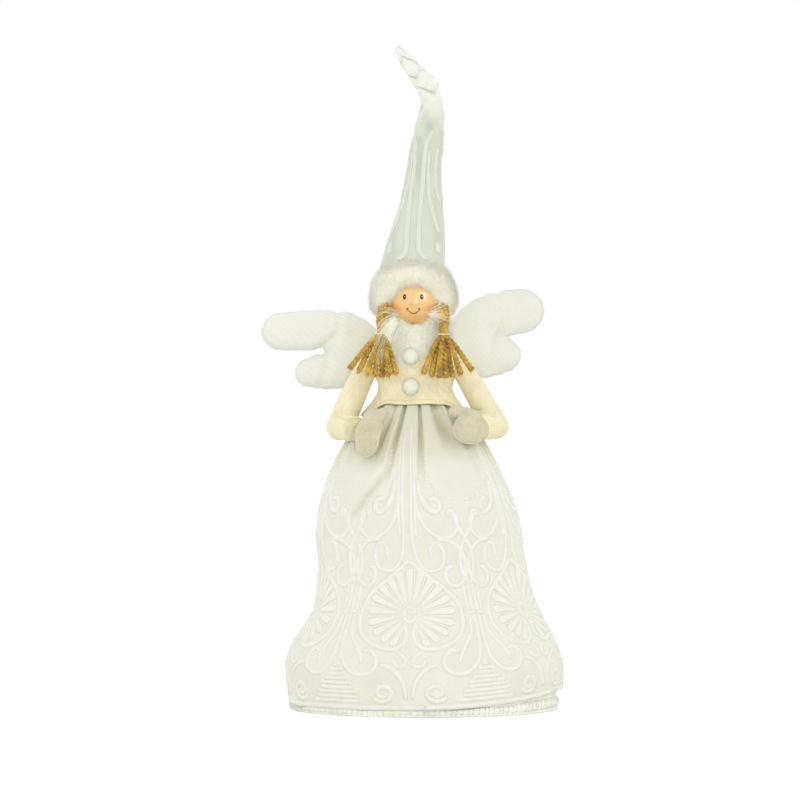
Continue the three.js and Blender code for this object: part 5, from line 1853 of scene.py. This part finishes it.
class FIGURINE_OT_stage(bpy.types.Operator):
    """Set the pale floor, the soft light and the camera"""
    bl_idname = "figurine.stage"
    bl_label = "Stage"

    def execute(self, context):
        scene = context.scene
        scene.view_settings.view_transform = "Standard"
        bpy.ops.object.select_all(action="DESELECT")
        bpy.ops.mesh.primitive_plane_add(size=FLOOR_SIZE, location=(0, 0, 0))
        floor = context.object
        floor.name = "floor"
        material, tree, shader = new_material("pale floor", 0.9)
        grain = noise(tree, place_of(tree), 30.0)
        set_colour(tree, shader, tint(tree, grain, 0.3, 0.7, (0.86, 0.86, 0.85), (0.9, 0.9, 0.89)))
        white = add_node(tree, "ShaderNodeEmission", Color=(1, 1, 1, 1), Strength=FLOOR_GLOW)
        direct = add_node(tree, "ShaderNodeLightPath").outputs["Is Camera Ray"]
        seen = math_node(tree, "MULTIPLY", direct, FLOOR_GLOW_SHARE)
        mix = add_node(tree, "ShaderNodeMixShader", Fac=seen)
        tree.links.new(shader.outputs["BSDF"], mix.inputs[1])
        tree.links.new(white.outputs["Emission"], mix.inputs[2])
        tree.links.new(mix.outputs["Shader"], tree.nodes["Material Output"].inputs["Surface"])
        floor.data.materials.append(material)

        world = bpy.data.worlds.new("studio")
        scene.world = world
        world.use_nodes = True
        tree = world.node_tree
        light = tree.nodes["Background"]
        light.inputs["Color"].default_value = (1, 1, 1, 1)
        light.inputs["Strength"].default_value = WORLD_LIGHT
        white = add_node(tree, "ShaderNodeBackground", Color=(1, 1, 1, 1), Strength=1.0)
        path = add_node(tree, "ShaderNodeLightPath").outputs
        seen = math_node(tree, "MAXIMUM", path["Is Camera Ray"],
                         math_node(tree, "MAXIMUM", path["Is Glossy Ray"], path["Is Transmission Ray"]))
        mix = add_node(tree, "ShaderNodeMixShader", Fac=seen)
        tree.links.new(light.outputs["Background"], mix.inputs[1])
        tree.links.new(white.outputs["Background"], mix.inputs[2])
        tree.links.new(mix.outputs["Shader"], tree.nodes["World Output"].inputs["Surface"])

        for name, place, target, width, power in LAMPS:
            lamp = bpy.data.lights.new(name, "AREA")
            lamp.size = width
            lamp.energy = power
            holder = bpy.data.objects.new(name, lamp)
            scene.collection.objects.link(holder)
            holder.location = place
            aim = np.array(target) - np.array(place)
            level = math.hypot(aim[0], aim[1])
            holder.rotation_euler = (math.atan2(level, -aim[2]), 0, math.atan2(-aim[0], aim[1]))
            holder.visible_diffuse = name != "gloss"

        lens = bpy.data.cameras.new("camera")
        lens.sensor_width = SENSOR_WIDTH
        lens.lens = SENSOR_WIDTH * -CAMERA_PLACE[1] / VIEW_WIDTH
        camera = bpy.data.objects.new("camera", lens)
        scene.collection.objects.link(camera)
        camera.location = CAMERA_PLACE
        camera.rotation_euler = (math.pi / 2, 0, 0)
        scene.camera = camera
        return {"FINISHED"}


OPERATORS = (
    FIGURINE_OT_stage, FIGURINE_OT_base, FIGURINE_OT_skirt, FIGURINE_OT_bodice, FIGURINE_OT_arms,
    FIGURINE_OT_wings, FIGURINE_OT_head, FIGURINE_OT_collar, FIGURINE_OT_pigtails, FIGURINE_OT_hat,
    FIGURINE_OT_inside,
)


class FIGURINE_PT_panel(bpy.types.Panel):
    """The figurine's pieces, sizes and colours"""
    bl_idname = "FIGURINE_PT_panel"
    bl_label = "Fabric angel figurine"
    bl_space_type = "VIEW_3D"
    bl_region_type = "UI"
    bl_category = "Figurine"

    def draw(self, context):
        for operator in OPERATORS:
            self.layout.operator(operator.bl_idname)
        for group in (context.scene.figurine_sizes, context.scene.figurine_colours):
            for key in group.__annotations__:
                self.layout.prop(group, key)


CLASSES = (FigurineSizes, FigurineColours, *OPERATORS, FIGURINE_PT_panel)


def register():
    for each in CLASSES:
        bpy.utils.register_class(each)
    bpy.types.Scene.figurine_sizes = PointerProperty(type=FigurineSizes)
    bpy.types.Scene.figurine_colours = PointerProperty(type=FigurineColours)


def unregister():
    del bpy.types.Scene.figurine_colours
    del bpy.types.Scene.figurine_sizes
    for each in reversed(CLASSES):
        bpy.utils.unregister_class(each)


def main():
    register()
    for operator in OPERATORS:
        group, name = operator.bl_idname.split(".")
        getattr(getattr(bpy.ops, group), name)()


if __name__ == "__main__":
    main()
